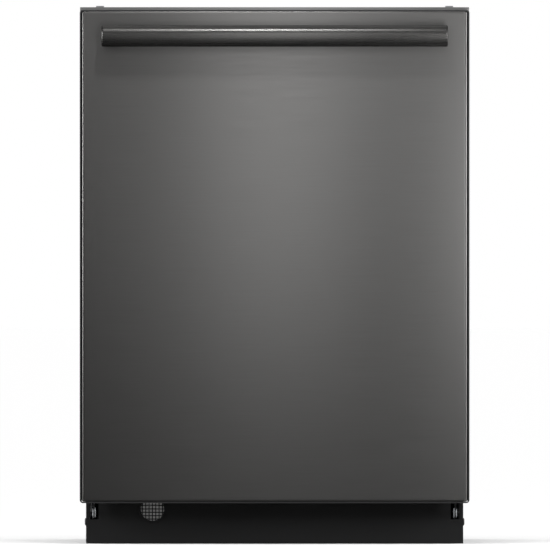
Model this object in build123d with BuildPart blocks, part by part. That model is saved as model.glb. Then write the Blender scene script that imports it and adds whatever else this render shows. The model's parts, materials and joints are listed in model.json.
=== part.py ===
"""Built-in dishwasher, 24 inch class, with hidden top controls and a bar handle.

Frame: millimetres, +Z up, the front faces -Y, +X is to the right of someone facing the front.
The origin is on the floor, at the middle of the overall width and depth.
Modelled with the door closed, both racks in and the levelling legs screwed right in.
"""

import os

from build123d import *

# ---------------------------------------------------------------- overall sizes
unit_width = 606.0
unit_depth = 635.0
unit_height = 838.0
half_width = unit_width / 2
back_y = unit_depth / 2

# ---------------------------------------------------------------- sheet, wire and gaps
sheet = 0.8
rack_bar = 4.0
rack_pitch = 50.0
contact_gap = 0.2
running_gap = 0.05  # radial, shaft in hole
small_gap = 0.5
side_signs = (-1, 1)

# ---------------------------------------------------------------- stations front to back
handle_reach = 43.0
door_front = -back_y + handle_reach
door_depth = 50.0
door_back = door_front + door_depth
seal_gap = 3.0
flange_front = door_back + seal_gap
liner_bulge = 6.5
liner_face = door_back + liner_bulge
pivot_setback = 38.0
pivot_y = door_front + pivot_setback
toe_recess = 75.0
toe_front = door_front + toe_recess
toe_thickness = 2.0
base_front = toe_front + toe_thickness
tub_back_y = back_y - 21.5
rack_front = liner_face + 18.0
rack_back = tub_back_y - 34.0

# ---------------------------------------------------------------- heights
bracket_thickness = 2.0
frame_top = unit_height - bracket_thickness
door_top = frame_top - 5.0
door_bottom = 64.0
pivot_rise = 33.0
pivot_z = door_bottom + pivot_rise
track_z = pivot_z + liner_face - pivot_y  # inner face of the open door
ledge_z = track_z + 0.5
basin_z = ledge_z - 16.0
tub_top = frame_top - 18.0
base_bottom = 14.0
base_floor = base_bottom + 3.0
base_top = ledge_z - 4.0

# ---------------------------------------------------------------- widths
tub_half = half_width - 29.0
base_half = half_width - 9.0
base_wall = 3.0
arm_thickness = 3.0
arm_x = half_width - 21.5
rail_thickness = 3.0
rail_inner = base_half - base_wall - rail_thickness - 1.0
rack_half = tub_half - 23.0


def slab(x, y, z, mode=Mode.ADD):
    """A block between two limits on each axis, in the part being built."""
    middle = ((x[0] + x[1]) / 2, (y[0] + y[1]) / 2, (z[0] + z[1]) / 2)
    with Locations(middle):
        Box(abs(x[1] - x[0]), abs(y[1] - y[0]), abs(z[1] - z[0]), mode=mode)


def rod(centre, radius, length, axis="Z", mode=Mode.ADD):
    """A cylinder about its centre, along a named axis, in the part being built."""
    turn = {"X": (0, 90, 0), "Y": (90, 0, 0), "Z": (0, 0, 0)}[axis]
    with Locations(Location(centre, turn)):
        Cylinder(radius, length, mode=mode)


def tube(centre, outer, inner, length, axis="Z"):
    """A round tube about its centre, in the part being built."""
    rod(centre, outer, length, axis)
    rod(centre, inner, length + 2, axis, mode=Mode.SUBTRACT)


def span(sign, near, far):
    """Limits along X on one side of the middle, in rising order."""
    return tuple(sorted((sign * near, sign * far)))


def xz_plane(y):
    """A sketch plane at depth y whose axes are X and Z. It extrudes forwards, to -Y."""
    return Plane.XZ.offset(-y)


def yz_plane(x):
    """A sketch plane at x whose axes are Y and Z. It extrudes to +X."""
    return Plane.YZ.offset(x)


def cells(length, pitch):
    """Whole number of cells of about one pitch in a length, and the exact pitch."""
    count = max(2, round(length / pitch))
    return count, length / count


def bar_grid(width, height, bar=rack_bar, pitch=rack_pitch):
    """A flat lattice of bars about the local origin, in the sketch being built."""
    nx, px = cells(width - bar, pitch)
    ny, py = cells(height - bar, pitch)
    Rectangle(width, height)
    with GridLocations(px, py, nx, ny):
        Rectangle(px - bar, py - bar, mode=Mode.SUBTRACT)


os.makedirs("parts", exist_ok=True)


def save(part, name):
    """Names a finished piece and writes its STEP file."""
    part.label = name
    export_step(part, f"parts/{name}.step")


# ================================================================ cabinet and base
leg_x = half_width - 41.0
leg_front_y = toe_front + 32.0
leg_rear_y = back_y - 37.5
leg_places = {
    "leg_front_left": (-leg_x, leg_front_y),
    "leg_front_right": (leg_x, leg_front_y),
    "leg_rear_left": (-leg_x, leg_rear_y),
    "leg_rear_right": (leg_x, leg_rear_y),
}
stud_radius = 5.0
boss_radius = 11.0
boss_top = base_floor + 24.0
drain_x = -150.0
drain_z = 60.0
drain_radius = 9.0
drain_wall = 2.0
outlet_length = 24.0
valve_x = -200.0
valve_z = 40.0
hose_hole_radius = 20.0
box_x = 175.0
conduit_y = base_front + 45.0
conduit_radius = 11.0
conduit_clear = 3.0
ledge_length = 160.0

# Base pan: an open plastic tray that carries the tub, with a boss for each leg.
with BuildPart() as base_pan:
    slab((-base_half, base_half), (base_front, back_y), (base_bottom, base_floor))
    for sign in side_signs:
        slab(span(sign, base_half - base_wall, base_half), (base_front, back_y), (base_floor, base_top))
        slab(span(sign, leg_x - 3, base_half), (leg_rear_y - ledge_length, back_y), (base_top - 3, base_top))
    slab((-base_half, base_half), (back_y - base_wall, back_y), (base_floor, base_top))
    for x, y in leg_places.values():
        rod((x, y, (base_floor + boss_top) / 2), boss_radius, boss_top - base_floor)
    for x, y in leg_places.values():
        bore_z = (boss_top + base_bottom) / 2
        rod((x, y, bore_z), stud_radius + running_gap, boss_top - base_bottom + 2, mode=Mode.SUBTRACT)
    outlet_y = back_y - base_wall - outlet_length / 2
    rod((drain_x, outlet_y, drain_z), drain_radius, outlet_length, "Y")
    rod((drain_x, back_y, drain_z), drain_radius - drain_wall, 3 * outlet_length, "Y", mode=Mode.SUBTRACT)
    rod((valve_x, back_y, valve_z), hose_hole_radius, 4 * base_wall, "Y", mode=Mode.SUBTRACT)
    rod((box_x, conduit_y, base_floor), conduit_radius + conduit_clear, 20, mode=Mode.SUBTRACT)
save(base_pan.part, "base_pan")

# Levelling legs: a threaded stud on a round foot.
foot_height = 10.0
foot_radius = 16.0
stud_top = 70.0
for leg_name, (x, y) in leg_places.items():
    with BuildPart() as leg:
        rod((x, y, foot_height / 2), foot_radius, foot_height)
        chamfer(leg.edges().group_by(Axis.Z)[-1], 3)
        rod((x, y, (foot_height + stud_top) / 2), stud_radius, stud_top - foot_height)
        chamfer(leg.edges().group_by(Axis.Z)[-1], 1)
    save(leg.part, leg_name)

# Side rails: steel plates with the hinge pins, the pulley pins and the spring anchors.
pin_radius = 5.0
stub_radius = 2.5
pulley_radius = 8.0
pulley_y = toe_front + 9.0
pulley_z = base_floor + 31.0
cable_radius = 1.2
cable_run = pulley_radius + cable_radius + 1.0
spring_z = pulley_z - cable_run
spring_front = leg_front_y + 26.0
spring_length = 180.0
spring_back = spring_front + spring_length
anchor_y = spring_back + 8.0
rail_back = anchor_y + 14.0
rail_foot = base_floor
horn_front = pivot_y - 10.0
horn_half = 12.0
post_front = flange_front + 3.0
post_back = post_front + 22.0
post_top = pivot_z + 155.0
rail_shelf = base_top - 10.0
stub_end = arm_x - 3.5
stub_length = rail_inner - stub_end

with BuildPart() as side_rails:
    for sign in side_signs:
        with BuildSketch(yz_plane(sign * (rail_inner + rail_thickness / 2))):
            with BuildLine():
                Polyline(
                    (base_front + 4, rail_foot),
                    (rail_back, rail_foot),
                    (rail_back, rail_shelf),
                    (post_back, rail_shelf),
                    (post_back, post_top),
                    (post_front, post_top),
                    (post_front, pivot_z + horn_half),
                    (horn_front, pivot_z + horn_half),
                    (horn_front, pivot_z - horn_half),
                    (base_front + 4, pivot_z - horn_half),
                    close=True,
                )
            make_face()
        extrude(amount=rail_thickness / 2, both=True)
        stub_x = sign * (rail_inner + stub_end) / 2
        rod((stub_x, pivot_y, pivot_z), pin_radius, stub_length, "X")
        rod((stub_x, pulley_y, pulley_z), stub_radius, stub_length, "X")
        rod((stub_x, anchor_y, spring_z), stub_radius, stub_length, "X")
save(side_rails.part, "side_rails")

# Pulleys: one grooved wheel on each side, on one axis.
pulley_width = 5.0
with BuildPart() as cable_pulleys:
    for sign in side_signs:
        tube((sign * arm_x, pulley_y, pulley_z), pulley_radius, stub_radius + running_gap, pulley_width, "X")
save(cable_pulleys.part, "cable_pulleys")

# Hinge arms: plates inside the door, each with a tail below the pivot for the cable.
lug_back = 14.0
lug_drop = 33.0
lug_radius = 5.5
lug_hole_radius = 1.8
lug_y = pivot_y + lug_back
lug_z = pivot_z - lug_drop
arm_front = door_front + 14.0
arm_top = pivot_z + 150.0
arm_back = door_back - 5.0

with BuildPart() as hinge_arms:
    for sign in side_signs:
        with BuildSketch(yz_plane(sign * arm_x)):
            with BuildLine():
                Polyline(
                    (arm_front, pivot_z - 6),
                    (arm_front, arm_top),
                    (arm_back, arm_top),
                    (arm_back, pivot_z + 10),
                    (lug_y + lug_radius, lug_z),
                    (lug_y - lug_radius, lug_z),
                    (pivot_y - 12, pivot_z - 14),
                    close=True,
                )
            make_face()
            with Locations((lug_y, lug_z)):
                Circle(lug_radius)
                Circle(lug_hole_radius, mode=Mode.SUBTRACT)
            with Locations((pivot_y, pivot_z)):
                Circle(pin_radius + running_gap, mode=Mode.SUBTRACT)
        extrude(amount=arm_thickness / 2, both=True)
save(hinge_arms.part, "hinge_arms")

# Balance springs: coil body, cable under the pulley and up to the hinge arm, one for each side.
coil_radius = 5.0
ring_width = 3.2
hook_z = lug_z - lug_radius - cable_radius - contact_gap

with BuildPart() as spring_unit:
    outer_wrap = 0.7071 * (cable_run + cable_radius)
    inner_wrap = 0.7071 * (cable_run - cable_radius)
    with BuildSketch(yz_plane(0)):
        with BuildLine():
            Polyline(
                (lug_y - cable_radius, hook_z),
                (pulley_y - cable_run - cable_radius, pulley_z),
                (pulley_y - outer_wrap, pulley_z - outer_wrap),
                (pulley_y, spring_z - cable_radius),
                (spring_front + 1, spring_z - cable_radius),
                (spring_front + 1, spring_z + cable_radius),
                (pulley_y, spring_z + cable_radius),
                (pulley_y - inner_wrap, pulley_z - inner_wrap),
                (pulley_y - cable_run + cable_radius, pulley_z),
                (lug_y + cable_radius, hook_z),
                close=True,
            )
        make_face()
    extrude(amount=cable_radius, both=True)
    coil_mid = (spring_front + spring_back) / 2
    rod((0, coil_mid, spring_z), coil_radius, spring_length, "Y")
    rod((0, spring_back + 2, spring_z), cable_radius, 6, "Y")
    tube((0, anchor_y, spring_z), stub_radius + 2.5, stub_radius + contact_gap, ring_width, "X")
with BuildPart() as door_springs:
    with Locations((-arm_x, 0, 0), (arm_x, 0, 0)):
        add(spring_unit.part)
save(door_springs.part, "door_springs")

# ================================================================ tub
tub_corner = 30.0
basin_half = tub_half - 49.0
basin_front = liner_face + 47.0
basin_back = tub_back_y - 46.0
sump_y = 20.0
sump_radius = 72.0
lip_front = liner_face + 2.0
tub_front = flange_front + 1.0
tub_height = tub_top - ledge_z
tub_mid_z = (tub_top + ledge_z) / 2
wrap_bottom = ledge_z - sheet

with BuildPart() as tub_wrapper:
    with BuildSketch(xz_plane(tub_front)):
        with Locations((0, (tub_top + sheet + wrap_bottom) / 2)):
            Rectangle(2 * (tub_half + sheet), tub_top + sheet - wrap_bottom)
        fillet(vertices().group_by(Axis.Y)[-1], tub_corner + sheet)
        with Locations((0, tub_top - tub_corner / 2)):
            Rectangle(2 * (tub_half - tub_corner), tub_corner, mode=Mode.SUBTRACT)
        with Locations((0, (tub_top - tub_corner + wrap_bottom) / 2)):
            Rectangle(2 * tub_half, tub_top - tub_corner - wrap_bottom, mode=Mode.SUBTRACT)
        for sign in side_signs:
            with Locations((sign * (tub_half - tub_corner), tub_top - tub_corner)):
                Circle(tub_corner, mode=Mode.SUBTRACT)
    extrude(amount=-(tub_back_y - tub_front))
save(tub_wrapper.part, "tub_wrapper")

with BuildPart() as tub_back:
    with BuildSketch(xz_plane(tub_back_y + sheet)):
        with Locations((0, (tub_top + sheet + wrap_bottom) / 2)):
            Rectangle(2 * (tub_half + sheet), tub_top + sheet - wrap_bottom)
        fillet(vertices().group_by(Axis.Y)[-1], tub_corner + sheet)
    extrude(amount=sheet)
save(tub_back.part, "tub_back")

float_x = -basin_half + 22.0
float_y = basin_front + 22.0
float_post_radius = 6.0
float_post_top = basin_z + 18.0

with BuildPart() as tub_floor:
    slab((-tub_half, tub_half), (lip_front, tub_back_y), (wrap_bottom, ledge_z))
    slab((-basin_half, basin_half), (basin_front, basin_back), (basin_z - sheet, ledge_z))
    inner_x = (-basin_half + sheet, basin_half - sheet)
    inner_y = (basin_front + sheet, basin_back - sheet)
    slab(inner_x, inner_y, (basin_z, ledge_z + 1), mode=Mode.SUBTRACT)
    slab((-tub_half, tub_half), (lip_front, lip_front + sheet), (ledge_z - 3, wrap_bottom))
    rod((0, sump_y, basin_z), sump_radius - 2, 10, mode=Mode.SUBTRACT)
    post_height = float_post_top - basin_z + sheet
    rod((float_x, float_y, float_post_top - post_height / 2), float_post_radius, post_height)
save(tub_floor.part, "tub_floor")

# Front frame: the folded steel flange round the mouth of the tub.
flange_return = 14.0
flange_foot = pivot_z + 44.0
band_return = 40.0
flange_sheet = 1.0
with BuildPart() as front_frame:
    for sign in side_signs:
        slab(span(sign, tub_half + sheet, half_width), (flange_front, tub_front), (flange_foot, frame_top))
        edge_x = span(sign, half_width - flange_sheet, half_width)
        slab(edge_x, (tub_front, tub_front + flange_return), (flange_foot, frame_top))
    top_z = (tub_top + sheet, frame_top)
    slab((-half_width, half_width), (flange_front, tub_front), top_z)
    band_z = (frame_top - flange_sheet, frame_top)
    slab((-half_width, half_width), (tub_front, tub_front + band_return), band_z)
    corner_z = tub_top - tub_corner
    for sign in side_signs:
        with BuildSketch(xz_plane(tub_front)):
            with Locations((sign * (tub_half - tub_corner / 2 + sheet / 2), (corner_z + tub_top + sheet) / 2)):
                Rectangle(tub_corner + sheet, tub_corner + sheet)
            with Locations((sign * (tub_half - tub_corner), corner_z)):
                Circle(tub_corner + sheet, mode=Mode.SUBTRACT)
        extrude(amount=flange_sheet)
save(front_frame.part, "front_frame")

# Tub gasket: a soft bulb round the sides and top of the tub mouth.
bulb = 7.0
gasket_front = door_back + contact_gap
gasket_outer = tub_half - contact_gap
gasket_top = tub_top - contact_gap
gasket_corner = tub_corner - contact_gap
gasket_foot = ledge_z + 3.0
gasket_depth = 10.0
with BuildPart() as tub_gasket:
    with BuildSketch(xz_plane(gasket_front + gasket_depth)):
        with Locations((0, (gasket_top + gasket_foot) / 2)):
            Rectangle(2 * gasket_outer, gasket_top - gasket_foot)
        fillet(vertices().group_by(Axis.Y)[-1], gasket_corner)
        with Locations((0, (gasket_top - gasket_corner + gasket_foot) / 2)):
            Rectangle(2 * (gasket_outer - bulb), gasket_top - gasket_corner - gasket_foot, mode=Mode.SUBTRACT)
        with Locations((0, gasket_top - bulb - (gasket_corner - bulb) / 2)):
            inner_run = 2 * (gasket_outer - gasket_corner)
            Rectangle(inner_run, gasket_corner - bulb, mode=Mode.SUBTRACT)
        for sign in side_signs:
            with Locations((sign * (gasket_outer - gasket_corner), gasket_top - gasket_corner)):
                Circle(gasket_corner - bulb, mode=Mode.SUBTRACT)
    extrude(amount=gasket_depth)
save(tub_gasket.part, "tub_gasket")

# Counter brackets: flat tabs with a screw hole, on top of the front frame.
bracket_x = half_width - 31.0
bracket_width = 12.0
bracket_length = 38.0
bracket_hole_y = flange_front + 14.0
bracket_hole_radius = 2.5
with BuildPart() as counter_brackets:
    for sign in side_signs:
        bracket_span = (sign * bracket_x - bracket_width / 2, sign * bracket_x + bracket_width / 2)
        slab(bracket_span, (flange_front, flange_front + bracket_length), (frame_top, unit_height))
        rod((sign * bracket_x, bracket_hole_y, unit_height), bracket_hole_radius, 10, mode=Mode.SUBTRACT)
save(counter_brackets.part, "counter_brackets")

# Insulation blanket: a U over the sides and top of the tub.
blanket = 12.0
blanket_front = tub_front + band_return + 6
blanket_foot = base_top + 8.0
blanket_in = tub_half + sheet
with BuildPart() as insulation_blanket:
    for sign in side_signs:
        blanket_z = (blanket_foot, tub_top - tub_corner)
        slab(span(sign, blanket_in, blanket_in + blanket), (blanket_front, tub_back_y), blanket_z)
    blanket_x = tub_half - tub_corner
    slab((-blanket_x, blanket_x), (blanket_front, tub_back_y), (tub_top + sheet, tub_top + sheet + blanket))
    for sign in side_signs:
        with BuildSketch(xz_plane(tub_back_y)):
            with BuildLine():
                JernArc((sign * blanket_in, tub_top - tub_corner), (0, 1), tub_corner + sheet, sign * 90)
                Line((sign * blanket_x, tub_top + sheet), (sign * blanket_x, tub_top + sheet + blanket))
                JernArc(
                    (sign * blanket_x, tub_top + sheet + blanket),
                    (sign, 0),
                    tub_corner + sheet + blanket,
                    -sign * 90,
                )
                Line((sign * (blanket_in + blanket), tub_top - tub_corner), (sign * blanket_in, tub_top - tub_corner))
            make_face()
        extrude(amount=tub_back_y - blanket_front)
save(insulation_blanket.part, "insulation_blanket")

# Toe panel: a black plate below and behind the door, slotted for the hinge cables.
toe_gap = 0.4
slot_near = arm_x - 7.0
slot_far = arm_x + 7.0
slot_foot = 38.0
vent_x = -190.5
vent_z = 54.0
vent_radius = 22.0
with BuildPart() as toe_panel:
    slab((-base_half, base_half), (toe_front, base_front), (toe_gap, base_top))
    for sign in side_signs:
        slot_y = (toe_front - 1, base_front + 1)
        slab(span(sign, slot_near, slot_far), slot_y, (slot_foot, base_top + 1), mode=Mode.SUBTRACT)
        horn_slot = span(sign, slot_near, rail_inner + rail_thickness + small_gap)
        slab(horn_slot, slot_y, (pivot_z - horn_half - small_gap, base_top + 1), mode=Mode.SUBTRACT)
    rod((vent_x, toe_front, vent_z), vent_radius - 1.5, 20, "Y", mode=Mode.SUBTRACT)
save(toe_panel.part, "toe_panel")

# Vent grille: a round louvred insert in the toe panel.
vent_depth = 2.5
with BuildPart() as toe_vent_grille:
    rod((vent_x, toe_front - vent_depth / 2, vent_z), vent_radius, vent_depth, "Y")
    tube((vent_x, toe_front + 4, vent_z), vent_radius - 1.5, vent_radius - 3.5, 8, "Y")
    rod((vent_x, toe_front, vent_z), vent_radius - 3.5, 12, "Y", mode=Mode.SUBTRACT)
    with BuildSketch(xz_plane(toe_front)):
        with Locations((vent_x, vent_z)):
            with GridLocations(6.8, 1, 6, 1):
                Rectangle(1.6, vent_radius * 2)
            with GridLocations(1, 6.5, 1, 6):
                Rectangle(vent_radius * 2, 2.2)
            Circle(vent_radius - 3, mode=Mode.INTERSECT)
    extrude(amount=vent_depth - 0.5)
save(toe_vent_grille.part, "toe_vent_grille")

# Side screws: pan heads that hold the side rails to the base pan.
head_radius = 6.0
head_height = 2.0
screw_z = base_bottom + 20.0
with BuildPart() as base_screws:
    for sign in side_signs:
        for y in (base_front + 12, rail_back - 15):
            rod((sign * (base_half + head_height / 2), y, screw_z), head_radius, head_height, "X")
save(base_screws.part, "base_screws")

# ================================================================ water path
arm_axis_y = 50.0
cup_axis_y = -14.0
cup_radius = 28.0
cup_wall = 2.5
cup_bottom = basin_z - 44.0
hub_radius = 16.0
hub_top = ledge_z + 20.0
pump_z = 60.0
drain_pump_z = 52.0
sump_bottom = base_floor + 10.0
sump_wall = 3.0
pressure_port = 14.0
drain_port = 10.0

# Sump: a moulded bowl under the basin, with the post that carries the lower arm.
with BuildPart() as sump:
    rod((0, sump_y, (sump_bottom + basin_z - sheet) / 2), sump_radius + 6, basin_z - sheet - sump_bottom)
    neck = sump_radius + 10.0
    rod((neck / 2, sump_y, pump_z), pressure_port, neck, "X")
    rod((-neck / 2, sump_y, drain_pump_z), drain_port, neck, "X")
    bowl_z = (sump_bottom + sump_wall + basin_z) / 2
    rod((0, sump_y, bowl_z), sump_radius - 4, basin_z - sump_bottom - sump_wall, mode=Mode.SUBTRACT)
    post_height = hub_top - sump_bottom - sump_wall
    rod((0, arm_axis_y, hub_top - post_height / 2), hub_radius, post_height)
    rod((0, arm_axis_y, hub_top + 4), hub_radius - 6, 8)
    for sign in side_signs:
        slab(span(sign, sump_radius - 8, sump_radius + 2), (sump_y - 6, sump_y + 6), (base_floor, sump_bottom + 8))
save(sump.part, "sump")

# Fine filter: a perforated plate over the sump, holed for the cup and the post.
filter_top = basin_z + 3.0
with BuildPart() as fine_filter:
    rod((0, sump_y, basin_z + 1.5), sump_radius + 3, 3)
    rod((0, arm_axis_y, basin_z), hub_radius + 1, 12, mode=Mode.SUBTRACT)
    rod((0, cup_axis_y, basin_z), cup_radius + running_gap, 12, mode=Mode.SUBTRACT)
    with BuildSketch(Plane.XY.offset(basin_z - 1)):
        for sign in side_signs:
            with Locations((sign * 46, sump_y)):
                with GridLocations(9, 9, 3, 8):
                    Circle(2.5)
    extrude(amount=6, mode=Mode.SUBTRACT)
save(fine_filter.part, "fine_filter")

# Filter cup: a lift-and-turn cylinder with a cross handle.
with BuildPart() as filter_cup:
    rod((0, cup_axis_y, (cup_bottom + filter_top + 2) / 2), cup_radius, filter_top + 2 - cup_bottom)
    cup_mid = (cup_bottom + 3 + filter_top - 2) / 2
    rod((0, cup_axis_y, cup_mid), cup_radius - cup_wall, filter_top - 5 - cup_bottom, mode=Mode.SUBTRACT)
    with BuildSketch(Plane.XY.offset(filter_top - 3)):
        with Locations((0, cup_axis_y)):
            with PolarLocations(14, 6, start_angle=30):
                Circle(4)
    extrude(amount=8, mode=Mode.SUBTRACT)
    slab((-18, 18), (cup_axis_y - 2, cup_axis_y + 2), (filter_top, filter_top + 9))
save(filter_cup.part, "filter_cup")

# Pumps: a horizontal circulation pump on one side of the sump, a small drain pump on the other.
pump_radius = 33.0
volute_length = 44.0
motor_length = 90.0
sump_side = neck
with BuildPart() as circulation_pump:
    rod((sump_side + volute_length / 2, sump_y, pump_z), pump_radius, volute_length, "X")
    rod((sump_side + volute_length - 4 + motor_length / 2, sump_y, pump_z), pump_radius - 6, motor_length, "X")
    slab((sump_side + 60, sump_side + 110), (sump_y - 20, sump_y + 20), (base_floor, pump_z))
save(circulation_pump.part, "circulation_pump")

with BuildPart() as drain_pump:
    rod((-sump_side - 16, sump_y, drain_pump_z), 22, 32, "X")
    rod((-sump_side - 50, sump_y, drain_pump_z), 17, 44, "X")
    slab((-sump_side - 62, -sump_side - 32), (sump_y - 14, sump_y + 14), (base_floor, drain_pump_z))
save(drain_pump.part, "drain_pump")

# Inlet valve: a block with a round water inlet towards the hole in the back of the base, and a coil on top.
valve_y = base_front + 90.0
valve_half = 22.0
inlet_radius = 10.5
inlet_length = 24.0
inlet_wall = 3.0
coil_height = 16.0
with BuildPart() as inlet_valve:
    valve_top = valve_z + valve_half + 2
    slab((valve_x - 20, valve_x + 20), (valve_y - valve_half, valve_y + valve_half), (base_floor, valve_top))
    inlet_y = valve_y + valve_half + inlet_length / 2
    rod((valve_x, inlet_y, valve_z), inlet_radius, inlet_length, "Y")
    rod((valve_x, inlet_y + 8, valve_z), inlet_radius - inlet_wall, inlet_length + 6, "Y", mode=Mode.SUBTRACT)
    rod((valve_x, valve_y, valve_top + coil_height / 2), 14, coil_height)
save(inlet_valve.part, "inlet_valve")

# Junction box: the steel box where the supply wires join, with a conduit hole in its floor.
box_y = base_front + 14.0
box_half = 35.0
box_depth = 62.0
box_height = 52.0
box_sheet = 1.2
with BuildPart() as junction_box:
    slab((box_x - box_half, box_x + box_half), (box_y, box_y + box_depth), (base_floor, base_floor + box_height))
    inner_x = (box_x - box_half + box_sheet, box_x + box_half - box_sheet)
    inner_y = (box_y + box_sheet, box_y + box_depth - box_sheet)
    inner_z = (base_floor + box_sheet, base_floor + box_height - box_sheet)
    slab(inner_x, inner_y, inner_z, mode=Mode.SUBTRACT)
    rod((box_x, conduit_y, base_floor), conduit_radius, 10, mode=Mode.SUBTRACT)
save(junction_box.part, "junction_box")

# Feed tube: from the sump, along the basin, up the back wall and forward under the roof.
tube_radius = 8.0
tube_y = tub_back_y - 16.0
tube_low = basin_z + tube_radius + 4.0
roof_z = tub_top - 14.0
top_arm_z = roof_z - 26.0
top_stub_radius = 6.0
with BuildPart() as feed_tube:
    with BuildLine() as feed_path:
        FilletPolyline(
            (0, sump_y + sump_radius + 5, tube_low),
            (0, basin_back - 26, tube_low),
            (0, tube_y, tube_low + 36),
            (0, tube_y, roof_z),
            (0, arm_axis_y - 8, roof_z),
            radius=14,
        )
    with BuildSketch(Plane(feed_path.line @ 0, z_dir=feed_path.line % 0)):
        Circle(tube_radius)
    sweep(path=feed_path.line)
    rod((0, arm_axis_y, roof_z - 7), 9, 14)
    rod((0, arm_axis_y, roof_z - 21), top_stub_radius, 14)
    rod((0, arm_axis_y, top_arm_z - 3), 11, 2.6)
    rod((0, arm_axis_y, top_arm_z), top_stub_radius, 8)
save(feed_tube.part, "feed_tube")

# Heating element: an open loop over the basin, on two legs at the back.
heater_z = ledge_z + 9.0
heater_wire = 4.0
heater_rx = basin_half - 50.0
heater_front = basin_front + 34.0
heater_back = basin_back - 20.0
heater_gap = 34.0
with BuildPart() as heating_element:
    with BuildLine() as heater_path:
        FilletPolyline(
            (-heater_gap, heater_back, basin_z),
            (-heater_gap, heater_back, heater_z),
            (-heater_rx, heater_back, heater_z),
            (-heater_rx, heater_front, heater_z),
            (heater_rx, heater_front, heater_z),
            (heater_rx, heater_back, heater_z),
            (heater_gap, heater_back, heater_z),
            (heater_gap, heater_back, basin_z),
            radius=11,
        )
    with BuildSketch(Plane(heater_path.line @ 0, z_dir=heater_path.line % 0)):
        Circle(heater_wire)
    sweep(path=heater_path.line)
save(heating_element.part, "heating_element")

# Float: a hollow dome on its guide post.
dome_radius = 15.0
dome_top = float_post_top + 13.0
with BuildPart() as float_dome:
    rod((float_x, float_y, (basin_z + 2 + dome_top) / 2), dome_radius, dome_top - basin_z - 2)
    fillet(float_dome.edges().group_by(Axis.Z)[-1], 6)
    bore_top = dome_top - 4
    rod(
        (float_x, float_y, (basin_z + bore_top) / 2),
        float_post_radius + running_gap,
        bore_top - basin_z,
        mode=Mode.SUBTRACT,
    )
save(float_dome.part, "float_dome")


def spray_arm(part_name, axis_y, z, reach, root_width, height, bore):
    """A tapered two-bladed arm about a vertical axis, bored for its hub."""
    with BuildPart() as arm:
        with BuildSketch(Plane.XY.offset(z)):
            with BuildLine():
                Polyline(
                    (-reach, axis_y - root_width / 4),
                    (0, axis_y - root_width / 2),
                    (reach, axis_y - root_width / 4),
                    (reach, axis_y + root_width / 4),
                    (0, axis_y + root_width / 2),
                    (-reach, axis_y + root_width / 4),
                    close=True,
                )
            make_face()
            fillet(vertices().group_by(Axis.X)[0] + vertices().group_by(Axis.X)[-1], root_width / 5)
        extrude(amount=height)
        rod((0, axis_y, z + height / 2), root_width / 2 + 3, height + 3)
        rod((0, axis_y, z + height / 2), bore, height + 6, mode=Mode.SUBTRACT)
    save(arm.part, part_name)


lower_arm_reach = 190.0
lower_arm_z = hub_top + 1.0
spray_arm("lower_spray_arm", arm_axis_y, lower_arm_z + 1.5, lower_arm_reach, 42.0, 11.0, hub_radius - 6 + running_gap)

spray_arm("top_spray_arm", arm_axis_y, top_arm_z, 120.0, 30.0, 7.0, top_stub_radius + running_gap)

# ================================================================ door
frame_wall = 2.0
door_corner = 5.0
panel_lip = 12.0
panel_sheet = 1.0
frame_front = door_front + 1.0
liner_sheet = 1.0
liner_back_plane = door_back - liner_sheet
door_mid_z = (door_top + door_bottom) / 2
door_height = door_top - door_bottom
corner_near = arm_x - 6.0
corner_far = half_width - frame_wall - contact_gap

# Buttons along the top edge.
button_names = ("power", "cycle", "option", "start")
button_pitch = 46.0
button_length = 18.0
button_depth = 9.0
button_gap = 0.3
button_travel = 1.5
button_y = door_front + 26.0
button_places = {}
for index, button_name in enumerate(button_names):
    button_places[button_name] = (index - (len(button_names) - 1) / 2) * button_pitch

with BuildPart() as door_frame:
    with BuildSketch(xz_plane(liner_back_plane)):
        with Locations((0, door_mid_z)):
            RectangleRounded(unit_width, door_height, door_corner)
            inner_width = unit_width - 2 * frame_wall
            inner_height = door_height - 2 * frame_wall
            RectangleRounded(inner_width, inner_height, door_corner - frame_wall, mode=Mode.SUBTRACT)
    extrude(amount=liner_back_plane - frame_front)
    for sign in side_signs:
        open_y = (door_front + panel_lip + 2, door_back + 1)
        open_z = (door_bottom - 1, door_bottom + frame_wall + 4)
        slab(span(sign, corner_near, corner_far), open_y, open_z, mode=Mode.SUBTRACT)
    for x in button_places.values():
        hole_x = (x - button_length / 2 - button_gap, x + button_length / 2 + button_gap)
        hole_y = (button_y - button_depth / 2 - button_gap, button_y + button_depth / 2 + button_gap)
        slab(hole_x, hole_y, (door_top - frame_wall - 1, door_top + 1), mode=Mode.SUBTRACT)
save(door_frame.part, "door_frame")

panel_inset = frame_wall + contact_gap
with BuildPart() as door_panel:
    with BuildSketch(xz_plane(door_front + panel_lip)):
        with Locations((0, door_mid_z)):
            panel_width = unit_width - 2 * panel_inset
            panel_height = door_height - 2 * panel_inset
            RectangleRounded(panel_width, panel_height, door_corner - frame_wall)
    extrude(amount=panel_lip)
    fillet(door_panel.faces().sort_by(Axis.Y)[0].edges(), 2)
    with BuildSketch(xz_plane(door_front + panel_lip + 1)):
        with Locations((0, door_mid_z)):
            Rectangle(panel_width - 2 * panel_sheet, panel_height - 2 * panel_sheet)
    extrude(amount=panel_lip + 1 - panel_sheet, mode=Mode.SUBTRACT)
save(door_panel.part, "door_panel")

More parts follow.
